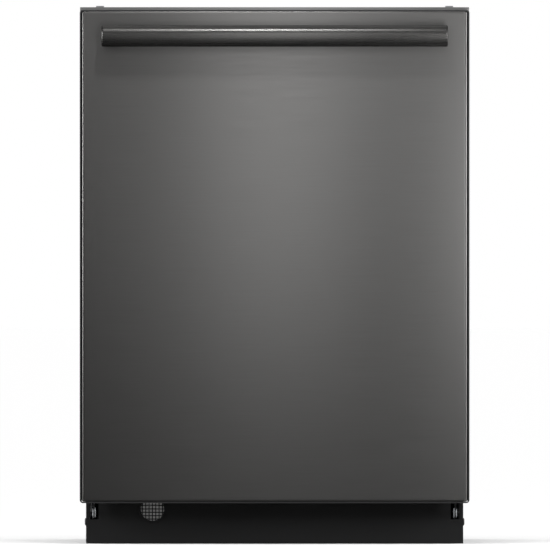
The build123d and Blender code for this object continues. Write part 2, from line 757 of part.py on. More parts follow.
# Handle: a bar of constant section on two posts.
handle_half = 269.0 / 303.0 * half_width
handle_height = 33.0
handle_top = door_top - 24.5
handle_bottom = handle_top - handle_height
handle_front = door_front - handle_reach
handle_depth = 15.0
handle_rear = handle_front + handle_depth
crease_drop = 8.0
with BuildPart() as handle_bar:
    with BuildSketch(yz_plane(-handle_half)):
        with BuildLine():
            Line((handle_rear, handle_bottom), (handle_rear, handle_top))
            Line((handle_rear, handle_top), (handle_front + 3, handle_top - 2))
            Line((handle_front + 3, handle_top - 2), (handle_front, handle_top - crease_drop))
            ThreePointArc(
                (handle_front, handle_top - crease_drop),
                (handle_front + 2, handle_bottom + 11),
                (handle_rear - 4, handle_bottom),
            )
            Line((handle_rear - 4, handle_bottom), (handle_rear, handle_bottom))
        make_face()
    extrude(amount=2 * handle_half)
    chamfer(handle_bar.faces().sort_by(Axis.X)[0].edges(), 1.2)
    chamfer(handle_bar.faces().sort_by(Axis.X)[-1].edges(), 1.2)
save(handle_bar.part, "handle_bar")

post_x = handle_half - 22.0
handle_post_depth = door_front - handle_rear
with BuildPart() as handle_posts:
    for sign in side_signs:
        post_span = (sign * post_x - 9, sign * post_x + 9)
        slab(post_span, (handle_rear, door_front), (handle_bottom + 5, handle_top - 5))
        fillet(handle_posts.edges().filter_by(Axis.Y).group_by(Axis.X)[-1 if sign > 0 else 0], 4)
save(handle_posts.part, "handle_posts")

# Inner door: a pressed liner with a raised field that enters the tub.
bulge_half = tub_half - 14.0
bulge_bottom = pivot_z + 7.0
bulge_top = tub_top - 16.0
liner_foot = pivot_z + horn_half + 4.0
liner_top = door_top - 1.0
liner_half = half_width - 1.0
disp_left = 15.0
disp_right = 180.0
disp_bottom = door_mid_z + 10.0
disp_top = disp_bottom + 150.0
disp_face = liner_face + 4.0
disp_rear = door_back - 32.0
latch_z = tub_top + 5.0
latch_half = 18.0
latch_slot = 5.0

with BuildPart() as door_liner:
    slab((-liner_half, liner_half), (liner_back_plane, door_back), (liner_foot, liner_top))
    slab((-bulge_half, bulge_half), (liner_back_plane, liner_face), (bulge_bottom, bulge_top))
    fillet(door_liner.edges().filter_by(Axis.Y).group_by(SortBy.LENGTH)[-1], 14)
    bulge_in = (-bulge_half + liner_sheet, bulge_half - liner_sheet)
    bulge_y = (liner_back_plane - 1, liner_face - liner_sheet)
    slab(bulge_in, bulge_y, (bulge_bottom + liner_sheet, bulge_top - liner_sheet), mode=Mode.SUBTRACT)
    slab((disp_left, disp_right), (door_front, liner_face + 1), (disp_bottom, disp_top), mode=Mode.SUBTRACT)
    latch_window = (latch_z - latch_slot, latch_z + latch_slot)
    slab((-latch_half, latch_half), (door_front, liner_face), latch_window, mode=Mode.SUBTRACT)
save(door_liner.part, "door_liner")

# Sound blanket inside the door.
pad_front = door_front + panel_sheet
pad_back = liner_back_plane - 12.0
pad_half = corner_near - 6.0
pad_bottom = liner_foot + 8.0
pad_top = door_top - 60.0
with BuildPart() as door_insulation:
    slab((-pad_half, pad_half), (pad_front, pad_back), (pad_bottom, pad_top))
    disp_x = (disp_left - 3, disp_right + 3)
    slab(disp_x, (disp_rear - 2, pad_back + 1), (disp_bottom - 3, disp_top + 3), mode=Mode.SUBTRACT)
save(door_insulation.part, "door_insulation")

# Control console: the moulding under the top edge that holds the buttons and the latch.
console_half = half_width - frame_wall - 12.0
console_front = door_front + panel_lip + contact_gap
console_back = liner_back_plane
console_top = door_top - frame_wall
console_bottom = door_top - 40.0
hook_pivot_y = door_back - 21.0
hook_pivot_z = latch_z - latch_slot - 6.0
hook_pin = 2.0
button_height = 10.0
with BuildPart() as control_console:
    slab((-console_half, console_half), (console_front, console_back), (console_bottom, console_top))
    for x in button_places.values():
        hole_x = (x - button_length / 2 - button_gap, x + button_length / 2 + button_gap)
        hole_y = (button_y - button_depth / 2 - button_gap, button_y + button_depth / 2 + button_gap)
        slab(hole_x, hole_y, (door_top - button_height - button_travel - 0.5, door_top), mode=Mode.SUBTRACT)
    latch_room = (latch_z - latch_slot - 12, latch_z + latch_slot)
    slab((-latch_half, latch_half), (door_back - 26, door_back + 1), latch_room, mode=Mode.SUBTRACT)
    rod((0, hook_pivot_y, hook_pivot_z), hook_pin, 2 * latch_half + 2, "X")
save(control_console.part, "control_console")

for button_name, x in button_places.items():
    with BuildPart() as button:
        button_x = (x - button_length / 2, x + button_length / 2)
        button_span = (button_y - button_depth / 2, button_y + button_depth / 2)
        slab(button_x, button_span, (door_top - button_height, door_top))
        fillet(button.edges().filter_by(Axis.Z), 2)
    save(button.part, f"button_{button_name}")

# Latch: a strike tongue on the tub frame and a sprung roller hook in the door.
strike_reach = 16.0
strike_half = 11.0
strike_thickness = 3.0
with BuildPart() as latch_strike:
    strike_z = (latch_z, latch_z + strike_thickness)
    slab((-strike_half, strike_half), (flange_front - strike_reach, flange_front), strike_z)
    slab((-strike_half - 5, strike_half + 5), (flange_front - 1, flange_front), (latch_z - 3.5, latch_z + 4))
save(latch_strike.part, "latch_strike")

with BuildPart() as latch_hook:
    with BuildSketch(yz_plane(-6)):
        with BuildLine():
            Polyline(
                (hook_pivot_y - 3.5, hook_pivot_z - 3.5),
                (hook_pivot_y + 3.5, hook_pivot_z - 3.5),
                (hook_pivot_y + 14, latch_z - 4.5),
                (hook_pivot_y + 12, latch_z - contact_gap),
                (hook_pivot_y + 9, latch_z - contact_gap),
                (hook_pivot_y - 3.5, hook_pivot_z + 3.5),
                close=True,
            )
        make_face()
        with Locations((hook_pivot_y, hook_pivot_z)):
            Circle(hook_pin + running_gap, mode=Mode.SUBTRACT)
    extrude(amount=12)
save(latch_hook.part, "latch_hook")

# Detergent dispenser: body with a cup, a sliding lid and a rinse-aid cap.
cup_left = disp_left + 12.0
cup_right = cup_left + 74.0
cup_top_z = disp_top - 12.0
cup_bottom_z = cup_top_z - 56.0
cup_depth = 26.0
cap_x = cup_right + 38.0
cap_z = cup_top_z - 28.0
cap_radius = 19.0
cap_stem = 9.0
lid_gap = 0.3
with BuildPart() as dispenser_body:
    slab((disp_left, disp_right), (disp_rear, liner_face), (disp_bottom, disp_top))
    slab((disp_left - 4, disp_right + 4), (liner_face, disp_face), (disp_bottom - 4, disp_top + 4))
    cup_y = (disp_face - cup_depth, disp_face + 1)
    slab((cup_left, cup_right), cup_y, (cup_bottom_z, cup_top_z), mode=Mode.SUBTRACT)
    rod((cap_x, disp_face, cap_z), cap_stem + running_gap, 24, "Y", mode=Mode.SUBTRACT)
    for rail_x in ((cup_left - 7, cup_left - 4.5), (cup_right + 4.5, cup_right + 7)):
        slab(rail_x, (disp_face, disp_face + 3), (disp_bottom, cup_top_z + 5))
save(dispenser_body.part, "dispenser_body")

with BuildPart() as dispenser_lid:
    lid_x = (cup_left - 4.5 + lid_gap, cup_right + 4.5 - lid_gap)
    slab(lid_x, (disp_face + lid_gap, disp_face + 2.6), (cup_bottom_z - 4, cup_top_z + 4))
    slab((cup_left + 20, cup_right - 20), (disp_face + 2.6, disp_face + 4), (cup_top_z - 6, cup_top_z - 2))
save(dispenser_lid.part, "dispenser_lid")

with BuildPart() as rinse_cap:
    rod((cap_x, disp_face + lid_gap + 1.3, cap_z), cap_radius, 2.6, "Y")
    rod((cap_x, disp_face - 4, cap_z), cap_stem, 10, "Y")
    slab((cap_x - 13, cap_x + 13), (disp_face + 2.6, disp_face + 4), (cap_z - 2.5, cap_z + 2.5))
save(rinse_cap.part, "rinse_cap")

# Bottom seal: a rubber strip under the raised field.
with BuildPart() as door_bottom_seal:
    seal_x = (-bulge_half + 6, bulge_half - 6)
    slab(seal_x, (door_back - 3, door_back + 3), (bulge_bottom - 5, bulge_bottom))
save(door_bottom_seal.part, "door_bottom_seal")

# Door screws: low heads down each edge of the liner.
door_screw_count = 5
screw_x = half_width - 9.0
screw_span = door_height - 190.0
with BuildPart() as door_screws:
    with Locations(Location((0, door_back + 0.75, door_mid_z + 30), (90, 0, 0))):
        with GridLocations(2 * screw_x, screw_span / (door_screw_count - 1), 2, door_screw_count):
            Cylinder(4, 1.5)
save(door_screws.part, "door_screws")

# ================================================================ lower rack
low_floor = pivot_z + 64.0
low_top = low_floor + 140.0
wheel_radius = 18.0
wheel_z = ledge_z + wheel_radius + 1.0
wheel_width = 11.0
wheel_inner = rack_half + 2.0
axle_radius = 4.0
wheel_rows = {"lower_wheels_front": rack_front + 150.0, "lower_wheels_rear": rack_back - 45.0}
front_slope = 32.0
rack_mid_y = (rack_front + rack_back) / 2
rack_length = rack_back - rack_front
tine_height = 78.0
tine_pitch = 26.0
fold_y = rack_mid_y + 25.0
fold_bar = 3.0
fold_z = low_floor + rack_bar + fold_bar + 0.5
fold_near = 20.0
fold_far = rack_half - 20.0

def wire_tray(y_limits, z_limits, slope=0.0):
    """A tray of crossed bars, open at the top, in the part being built."""
    length = y_limits[1] - y_limits[0]
    height = z_limits[1] - z_limits[0]
    inside = rack_half - rack_bar
    slab((-rack_half, rack_half), y_limits, z_limits)
    inner_y = (y_limits[0] + rack_bar, y_limits[1] - rack_bar)
    slab((-inside, inside), inner_y, (z_limits[0] + rack_bar, z_limits[1] + 1), mode=Mode.SUBTRACT)
    mid_y = (y_limits[0] + y_limits[1]) / 2
    mid_z = (z_limits[0] + slope + z_limits[1]) / 2
    nx, px = cells(2 * rack_half - rack_bar, rack_pitch)
    ny, py = cells(length - rack_bar, rack_pitch)
    nz, pz = cells(height - slope - rack_bar, rack_pitch)
    with BuildSketch(Plane.XY.offset(z_limits[0] - 1)) as floor_holes:
        with Locations((0, mid_y)):
            with GridLocations(px, py, nx, ny):
                Rectangle(px - rack_bar, py - rack_bar)
    extrude(floor_holes.sketch, amount=rack_bar + 1, mode=Mode.SUBTRACT)
    with BuildSketch(yz_plane(-rack_half - 1)) as side_holes:
        with Locations((mid_y, mid_z)):
            with GridLocations(py, pz, ny, nz):
                Rectangle(py - rack_bar, pz - rack_bar)
    extrude(side_holes.sketch, amount=2 * rack_half + 2, mode=Mode.SUBTRACT)
    with BuildSketch(xz_plane(y_limits[1] + 1)) as end_holes:
        with Locations((0, mid_z)):
            with GridLocations(px, pz, nx, nz):
                Rectangle(px - rack_bar, pz - rack_bar)
    extrude(end_holes.sketch, amount=length + 2, mode=Mode.SUBTRACT)


def tine_comb(y, z, height, count):
    """A bar along Y with a row of tines, built at X = 0."""
    with BuildPart() as comb:
        with BuildSketch(yz_plane(-rack_bar / 2)):
            with Locations(((y[0] + y[1]) / 2, z + rack_bar / 2)):
                Rectangle(y[1] - y[0], rack_bar)
            tine_step = (y[1] - y[0] - 4 * rack_bar) / (count - 1)
            with Locations(((y[0] + y[1]) / 2, z + height / 2)):
                with GridLocations(tine_step, 1, count, 1):
                    Rectangle(rack_bar, height)
        extrude(amount=rack_bar)
    return comb.part


comb_y = (rack_front + front_slope + 115.0, rack_back - rack_bar)
low_comb = tine_comb(comb_y, low_floor, tine_height, 7)

with BuildPart() as lower_rack:
    wire_tray((rack_front, rack_back), (low_floor, low_top), front_slope)
    with BuildSketch(yz_plane(-rack_half - 1)):
        with BuildLine():
            Polyline(
                (rack_front - 1, low_floor - 1),
                (rack_front + front_slope + 1, low_floor - 1),
                (rack_front - 1, low_floor + front_slope + 1),
                close=True,
            )
        make_face()
    extrude(amount=2 * rack_half + 2, mode=Mode.SUBTRACT)
    slope_count, slope_pitch = cells(2 * rack_half - rack_bar, rack_pitch)
    with BuildSketch(yz_plane(-rack_half)):
        with BuildLine():
            Polyline(
                (rack_front + front_slope + 2 * rack_bar, low_floor),
                (rack_front + front_slope, low_floor),
                (rack_front, low_floor + front_slope),
                (rack_front, low_floor + front_slope + 2 * rack_bar),
                close=True,
            )
        make_face()
    extrude(amount=2 * rack_half)
    with BuildSketch(xz_plane(rack_front + front_slope + 2 * rack_bar)):
        with Locations((0, low_floor + front_slope / 2 + rack_bar)):
            with GridLocations(slope_pitch, 1, slope_count, 1):
                Rectangle(slope_pitch - rack_bar, front_slope - rack_bar)
    extrude(amount=front_slope + 3 * rack_bar, mode=Mode.SUBTRACT)
    for row_y in wheel_rows.values():
        for sign in side_signs:
            plate_y = (row_y - 9, row_y + 9)
            slab(span(sign, rack_half - rack_bar, rack_half), plate_y, (wheel_z - 8, low_floor + 8))
            axle_length = wheel_inner + wheel_width - rack_half
            rod((sign * (rack_half + axle_length / 2), row_y, wheel_z), axle_radius, axle_length, "X")
        slab((-rack_half, rack_half), (row_y - rack_bar / 2, row_y + rack_bar / 2), (low_floor, low_floor + rack_bar))
    with Locations((fold_near + 8, 0, 0), (rack_half * 0.4, 0, 0), (rack_half * 0.72, 0, 0)):
        add(low_comb)
save(lower_rack.part, "lower_rack")

for row_name, row_y in wheel_rows.items():
    with BuildPart() as wheel_pair:
        for sign in side_signs:
            wheel_mid = sign * (wheel_inner + wheel_width / 2)
            tube((wheel_mid, row_y, wheel_z), wheel_radius, axle_radius + running_gap, wheel_width, "X")
    save(wheel_pair.part, row_name)

# Folding tines: a row on a pivot bar that lies down towards the back.
with BuildPart() as fold_tines:
    fold_length = fold_far - fold_near
    rod((-(fold_far + fold_near) / 2, fold_y, fold_z), fold_bar, fold_length, "X")
    fold_count, fold_step = cells(fold_length - 12, tine_pitch)
    with Locations((-(fold_far + fold_near) / 2, fold_y, fold_z)):
        with GridLocations(fold_step, 1, fold_count, 1):
            Box(3, 3, tine_height, align=(Align.CENTER, Align.CENTER, Align.MIN))
save(fold_tines.part, "fold_tines")

# Silverware basket with a carry handle and six compartments.
basket_left = 20.0
basket_right = rack_half - 22.0
basket_front = rack_front + front_slope + 12.0
basket_back = basket_front + 78.0
basket_floor = low_floor + rack_bar
basket_top = basket_floor + 112.0
basket_wall = 2.0
spine_height = 55.0
spine_half = 1.0
basket_columns = 3
with BuildPart() as silverware_basket:
    slab((basket_left, basket_right), (basket_front, basket_back), (basket_floor, basket_top))
    pocket_width = (basket_right - basket_left - basket_wall * (basket_columns + 1)) / basket_columns
    pocket_depth = (basket_back - basket_front - basket_wall * 3) / 2
    with BuildSketch(Plane.XY.offset(basket_floor + basket_wall)):
        with Locations(((basket_left + basket_right) / 2, (basket_front + basket_back) / 2)):
            with GridLocations(pocket_width + basket_wall, pocket_depth + basket_wall, basket_columns, 2):
                Rectangle(pocket_width, pocket_depth)
    extrude(amount=basket_top - basket_floor, mode=Mode.SUBTRACT)
    spine_y = (basket_front + basket_back) / 2
    basket_mid = (basket_left + basket_right) / 2
    slab((basket_left, basket_right), (spine_y - spine_half, spine_y + spine_half), (basket_top - 2, basket_top + spine_height))
    slot_z = (basket_top + 8, basket_top + spine_height - 12)
    slab((basket_left + 14, basket_right - 14), (spine_y - 3, spine_y + 3), slot_z, mode=Mode.SUBTRACT)
save(silverware_basket.part, "silverware_basket")

# ================================================================ upper rack
up_floor = low_floor + 309.0
up_top = up_floor + 125.0
rail_z = up_floor + 75.0
rail_half_height = 6.0
rail_x = (rack_half + 8.0, tub_half - 8.0)
guide_wall = 2.0
guide_clear = 0.5
guide_x = (rack_half + 12.0, tub_half)
shoe_span = (rack_back - 150.0, rack_back - 12.0)

up_comb = tine_comb((rack_front + rack_bar, rack_back - rack_bar), up_floor, tine_height - 18, 8)

with BuildPart() as upper_rack:
    wire_tray((rack_front, rack_back), (up_floor, up_top))
    for sign in side_signs:
        shoe_x = span(sign, rack_half - rack_bar, rail_x[0] - contact_gap)
        slab(shoe_x, shoe_span, (rail_z - rail_half_height, rail_z + rail_half_height))
    with Locations((fold_near + 8, 0, 0), (rack_half * 0.4, 0, 0), (rack_half * 0.72, 0, 0)):
        add(up_comb)
save(upper_rack.part, "upper_rack")

# Upper rack rails, which telescope between the tub guides and the rack.
rail_end = rack_back - 10.0
with BuildPart() as upper_rack_rails:
    for sign in side_signs:
        rail_height = (rail_z - rail_half_height, rail_z + rail_half_height)
        slab(span(sign, rail_x[0], rail_x[1]), (rack_front + 8, rail_end), rail_height)
save(upper_rack_rails.part, "upper_rack_rails")

with BuildPart() as rail_guides:
    for sign in side_signs:
        guide_half = rail_half_height + guide_clear + guide_wall
        slab(span(sign, guide_x[0], guide_x[1]), (rack_front, rail_end + 8), (rail_z - guide_half, rail_z + guide_half))
        groove = rail_half_height + guide_clear
        groove_x = span(sign, guide_x[0] - 1, rail_x[1] + guide_clear)
        slab(groove_x, (rack_front - 1, rail_end + 3), (rail_z - groove, rail_z + groove), mode=Mode.SUBTRACT)
save(rail_guides.part, "rail_guides")

# Cup shelf: a wire shelf hinged on the left side of the upper rack.
shelf_hinge_x = -(rack_half - rack_bar - 5.0)
shelf_width = 105.0
shelf_front = rack_front + 60.0
shelf_back = rack_back - 120.0
shelf_z = up_floor + 98.0
shelf_bar = 3.0
with BuildPart() as cup_shelf:
    with BuildSketch(Plane.XY.offset(shelf_z - shelf_bar / 2)):
        with Locations((shelf_hinge_x + shelf_width / 2, (shelf_front + shelf_back) / 2)):
            bar_grid(shelf_width, shelf_back - shelf_front, shelf_bar, rack_pitch / 1.5)
    extrude(amount=shelf_bar)
    rod((shelf_hinge_x, (shelf_front + shelf_back) / 2, shelf_z), shelf_bar, shelf_back - shelf_front, "Y")
save(cup_shelf.part, "cup_shelf")

# Middle spray arm, under the upper rack, and the manifold that feeds it.
manifold_z = up_floor - 9.0
mid_arm_z = up_floor - 30.0
with BuildPart() as upper_manifold:
    rod((0, (arm_axis_y + tube_y - tube_radius - 1) / 2, manifold_z), 7, tube_y - tube_radius - 1 - arm_axis_y, "Y")
    rod((0, arm_axis_y, manifold_z), 12, 17.6)
    rod((0, arm_axis_y, manifold_z - 16), 6, 16)
    rod((0, arm_axis_y, mid_arm_z - 3), 11, 2.6)
save(upper_manifold.part, "upper_manifold")
spray_arm("mid_spray_arm", arm_axis_y, mid_arm_z, 200.0, 34.0, 8.0, 6 + running_gap)
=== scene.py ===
"""Looks for the built-in dishwasher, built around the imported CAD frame. Metres throughout."""
import json
import math

import bmesh
import bpy
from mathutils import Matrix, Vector


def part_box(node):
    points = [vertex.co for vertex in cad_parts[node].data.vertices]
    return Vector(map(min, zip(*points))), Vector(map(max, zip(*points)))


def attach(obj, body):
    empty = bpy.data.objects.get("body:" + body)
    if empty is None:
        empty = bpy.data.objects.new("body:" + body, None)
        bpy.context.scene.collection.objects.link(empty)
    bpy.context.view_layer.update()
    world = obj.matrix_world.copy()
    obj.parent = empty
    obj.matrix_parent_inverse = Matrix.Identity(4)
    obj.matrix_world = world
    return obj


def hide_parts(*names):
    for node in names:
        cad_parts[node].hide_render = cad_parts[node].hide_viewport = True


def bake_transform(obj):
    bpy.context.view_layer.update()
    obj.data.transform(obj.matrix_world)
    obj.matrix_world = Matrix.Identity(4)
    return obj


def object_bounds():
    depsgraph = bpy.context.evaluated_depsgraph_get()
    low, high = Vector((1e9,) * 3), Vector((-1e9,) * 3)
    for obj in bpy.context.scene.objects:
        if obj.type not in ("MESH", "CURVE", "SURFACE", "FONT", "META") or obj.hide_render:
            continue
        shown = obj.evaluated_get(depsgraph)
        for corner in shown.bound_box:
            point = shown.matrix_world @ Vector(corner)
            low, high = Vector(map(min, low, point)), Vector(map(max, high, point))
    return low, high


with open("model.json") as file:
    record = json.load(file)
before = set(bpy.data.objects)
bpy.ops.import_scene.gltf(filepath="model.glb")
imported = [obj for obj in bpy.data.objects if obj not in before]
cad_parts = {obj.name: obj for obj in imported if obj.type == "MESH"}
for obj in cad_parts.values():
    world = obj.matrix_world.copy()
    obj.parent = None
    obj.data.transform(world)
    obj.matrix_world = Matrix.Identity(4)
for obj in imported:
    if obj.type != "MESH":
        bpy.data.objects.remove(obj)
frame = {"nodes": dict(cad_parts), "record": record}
cad_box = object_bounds()
NODES = frame["nodes"]


# ------------------------------------------------------------------ small helpers
def slot_of(node):
    """The material slot that the record gives a node."""
    return next(part["material_slot"] for part in frame["record"]["subparts"] if part["node"] == node)


def centre(lo, hi):
    """The middle of a box, as plain floats."""
    return tuple((a + b) / 2 for a, b in zip(lo, hi))


def turn(count):
    """Angles at equal steps round a full turn."""
    return [2 * math.pi * k / count for k in range(count)]


def quarter(steps):
    """Angles from 0 to a right angle, both ends included."""
    return [math.pi / 2 * k / steps for k in range(steps + 1)]


def spaced(a, z, pitch):
    """Even places from a to z, both included, about pitch apart."""
    n = max(2, round((z - a) / pitch))
    return [a + (z - a) * k / n for k in range(n + 1)]


def superellipse(angle, half_u, half_v, power_u, power_v):
    """A point on an oval that is squarer than an ellipse."""
    u, v = math.cos(angle), math.sin(angle)
    return half_u * math.copysign(abs(u) ** power_u, u), half_v * math.copysign(abs(v) ** power_v, v)


def rect_ring(x0, x1, y0, y1, r, z, seg=4):
    """A rounded rectangle in a plane of constant z."""
    ring = []
    for cx, cy, start in ((x1 - r, y1 - r, 0), (x0 + r, y1 - r, 90),
                          (x0 + r, y0 + r, 180), (x1 - r, y0 + r, 270)):
        for k in range(seg + 1):
            a = math.radians(start + 90 * k / seg)
            ring.append(Vector((cx + r * math.cos(a), cy + r * math.sin(a), z)))
    return ring


def wall_ring(x0, x1, z0, z1, r, y, seg=4):
    """A rounded rectangle in a plane of constant y."""
    return [Vector((p.x, y, p.y)) for p in rect_ring(x0, x1, z0, z1, r, 0, seg)]


def arch(half, foot, top, r, y, seg=8):
    """An open arch in the plane y: up the left side, over the rounded corners, down the right."""
    left, right = [], []
    for a in quarter(seg):
        left.append(Vector((-half + r * (1 - math.cos(a)), y, top - r * (1 - math.sin(a)))))
        right.append(Vector((half - r * (1 - math.sin(a)), y, top - r * (1 - math.cos(a)))))
    return [Vector((-half, y, foot))] + left + right + [Vector((half, y, foot))]


def fillet_path(points, r, seg=5, closed=False):
    """Rounds the corners of a path of straight runs, using less than half of a short run."""
    pts = [Vector(p) for p in points]
    n = len(pts)
    out = []
    for i, p in enumerate(pts):
        if not closed and i in (0, n - 1):
            out.append(p)
            continue
        a, b = pts[i - 1], pts[(i + 1) % n]
        da, db = a - p, b - p
        cut = min(r, 0.45 * da.length, 0.45 * db.length)
        pa, pb = p + da.normalized() * cut, p + db.normalized() * cut
        for k in range(seg + 1):
            t = k / seg
            out.append((1 - t) ** 2 * pa + 2 * t * (1 - t) * p + t * t * pb)
    return out


# ------------------------------------------------------------------ mesh builder
ON_AXIS = 1e-6      # radius of a turned ring that closes on its axis
MERGE = 2e-6        # points nearer than this become one
SLIVER = 1e-6       # edges shorter than this are dissolved


class Build:
    """Collects closed pieces of one mesh, then makes the object with box-projected UVs."""

    def __init__(self):
        self.verts = []
        self.faces = []

    def add(self, verts, faces):
        start = len(self.verts)
        self.verts.extend(tuple(v) for v in verts)
        self.faces.extend([start + i for i in face] for face in faces)

    def rings(self, rings, closed=False, cap=True):
        """A skin over rings of equal point counts."""
        count, n = len(rings), len(rings[0])
        faces = []
        for i in range(count if closed else count - 1):
            a, b = i * n, ((i + 1) % count) * n
            for j in range(n):
                k = (j + 1) % n
                faces.append((a + j, a + k, b + k, b + j))
        if cap and not closed:
            faces.append(tuple(range(n - 1, -1, -1)))
            faces.append(tuple((count - 1) * n + j for j in range(n)))
        self.add([p for ring in rings for p in ring], faces)

    def tube(self, points, radius, sides=10, closed=False):
        """A round wire along points, with a steady frame from point to point."""
        pts = [Vector(p) for p in points]
        n = len(pts)
        rings = []
        normal = None
        for i, p in enumerate(pts):
            if closed:
                t = (pts[(i + 1) % n] - pts[i - 1]).normalized()
            else:
                t = (pts[min(i + 1, n - 1)] - pts[max(i - 1, 0)]).normalized()
            if normal is None:
                normal = t.orthogonal().normalized()
            normal = (normal - t * normal.dot(t)).normalized()
            side = t.cross(normal)
            rings.append([p + radius * (math.cos(a) * normal + math.sin(a) * side) for a in turn(sides)])
        self.rings(rings, closed=closed)

    def rounded(self, lo, hi, r, seg=2):
        """A block with rounded edges, r being at most just under half of its least side."""
        r = min(r, *[0.49 * (hi[i] - lo[i]) for i in range(3)])
        rings = []
        steps = [(-1, a) for a in quarter(seg)]
        steps += [(1, math.pi / 2 * (1 - k / seg)) for k in range(seg + 1)]
        for sign, a in steps:
            inset = r * (1 - math.sin(a))
            z = lo[2] + r - r * math.cos(a) if sign < 0 else hi[2] - r + r * math.cos(a)
            rings.append(rect_ring(lo[0] + inset, hi[0] - inset, lo[1] + inset, hi[1] - inset,
                                   max(r - inset, r * 0.05), z, seg + 1))
        self.rings(rings)

    def lathe(self, profile, origin, axis="Z", sides=32, ring=False):
        """A turned piece. profile is (radius, height) pairs along the axis from the origin."""
        rings = []
        c = Vector(origin)
        for radius, h in profile:
            circle = []
            for a in turn(sides):
                u, v = max(radius, ON_AXIS) * math.cos(a), max(radius, ON_AXIS) * math.sin(a)
                offset = {"Z": (u, v, h), "Y": (u, h, -v), "X": (h, u, v)}[axis]
                circle.append(c + Vector(offset))
            rings.append(circle)
        self.rings(rings, closed=ring, cap=False)

    def done(self, name, material, body, node, smooth=40.0):
        """Makes the object in place of a CAD node. body is None for a piece that is left without a body."""
        mesh = bpy.data.meshes.new(name)
        mesh.from_pydata(self.verts, [], self.faces)
        mesh.validate()
        mesh.update()
        obj = bpy.data.objects.new(name, mesh)
        bpy.context.scene.collection.objects.link(obj)
        clean(mesh)
        shade(mesh, smooth)
        mesh.materials.append(material)
        if body:
            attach(obj, body)
        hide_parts(node)
        return obj


def clean(mesh):
    """Merges doubled points, drops slivers and turns the faces outwards."""
    bm = bmesh.new()
    bm.from_mesh(mesh)
    bmesh.ops.remove_doubles(bm, verts=bm.verts, dist=MERGE)
    bmesh.ops.dissolve_degenerate(bm, dist=SLIVER, edges=bm.edges)
    bmesh.ops.recalc_face_normals(bm, faces=bm.faces)
    bm.to_mesh(mesh)
    bm.free()


def shade(mesh, smooth):
    """Smooth shading up to an angle in degrees, and UVs along each face's two flattest axes."""
    mesh.polygons.foreach_set("use_smooth", [True] * len(mesh.polygons))
    mesh.set_sharp_from_angle(angle=math.radians(smooth))
    uv = mesh.uv_layers.new(name="UVMap")
    for poly in mesh.polygons:
        n = poly.normal
        big = max(range(3), key=lambda i: abs(n[i]))
        for li in poly.loop_indices:
            co = mesh.vertices[mesh.loops[li].vertex_index].co
            uv.data[li].uv = {0: (co.y, co.z), 1: (co.x, co.z), 2: (co.x, co.y)}[big]


# ------------------------------------------------------------------ materials
MIX_FACTOR, MIX_A, MIX_B, MIX_RESULT = 0, 6, 7, 2       # sockets of a Mix node that mixes colours
NOISE_LOW, NOISE_HIGH = 0.3, 0.7                        # the range that most of a noise lies in
BRUSHED_ALONG_U = 0.25                                  # in turns: highlights spread across the brushing


def node(tree, kind, **sockets):
    """A shader node with some of its inputs set by name."""
    n = tree.nodes.new(kind)
    for key, value in sockets.items():
        n.inputs[key].default_value = value
    return n


def grain(tree, stretch, scale, detail=5.0):
    """Noise in the piece's own coordinates, stretched along the brush direction."""
    coords = tree.nodes.new("ShaderNodeTexCoord")
    mapping = node(tree, "ShaderNodeMapping", Scale=stretch)
    noise = node(tree, "ShaderNodeTexNoise", Scale=scale, Detail=detail, Roughness=0.65)
    tree.links.new(coords.outputs["Object"], mapping.inputs["Vector"])
    tree.links.new(mapping.outputs["Vector"], noise.inputs["Vector"])
    return noise.outputs["Fac"]


def spread(tree, value, low, high, start=NOISE_LOW, end=NOISE_HIGH):
    """Maps start..end to low..high, and stays within them."""
    n = node(tree, "ShaderNodeMapRange",
             **{"From Min": start, "From Max": end, "To Min": low, "To Max": high})
    tree.links.new(value, n.inputs["Value"])
    return n.outputs["Result"]


def mix(tree, factor, a, b):
    """A colour between a and b."""
    n = tree.nodes.new("ShaderNodeMix")
    n.data_type = "RGBA"
    n.inputs[MIX_A].default_value = (*a, 1)
    n.inputs[MIX_B].default_value = (*b, 1)
    tree.links.new(factor, n.inputs[MIX_FACTOR])
    return n.outputs[MIX_RESULT]


def multiply(tree, a, b):
    """The product of two colours."""
    n = tree.nodes.new("ShaderNodeMix")
    n.data_type = "RGBA"
    n.blend_type = "MULTIPLY"
    n.inputs[MIX_FACTOR].default_value = 1.0
    tree.links.new(a, n.inputs[MIX_A])
    tree.links.new(b, n.inputs[MIX_B])
    return n.outputs[MIX_RESULT]


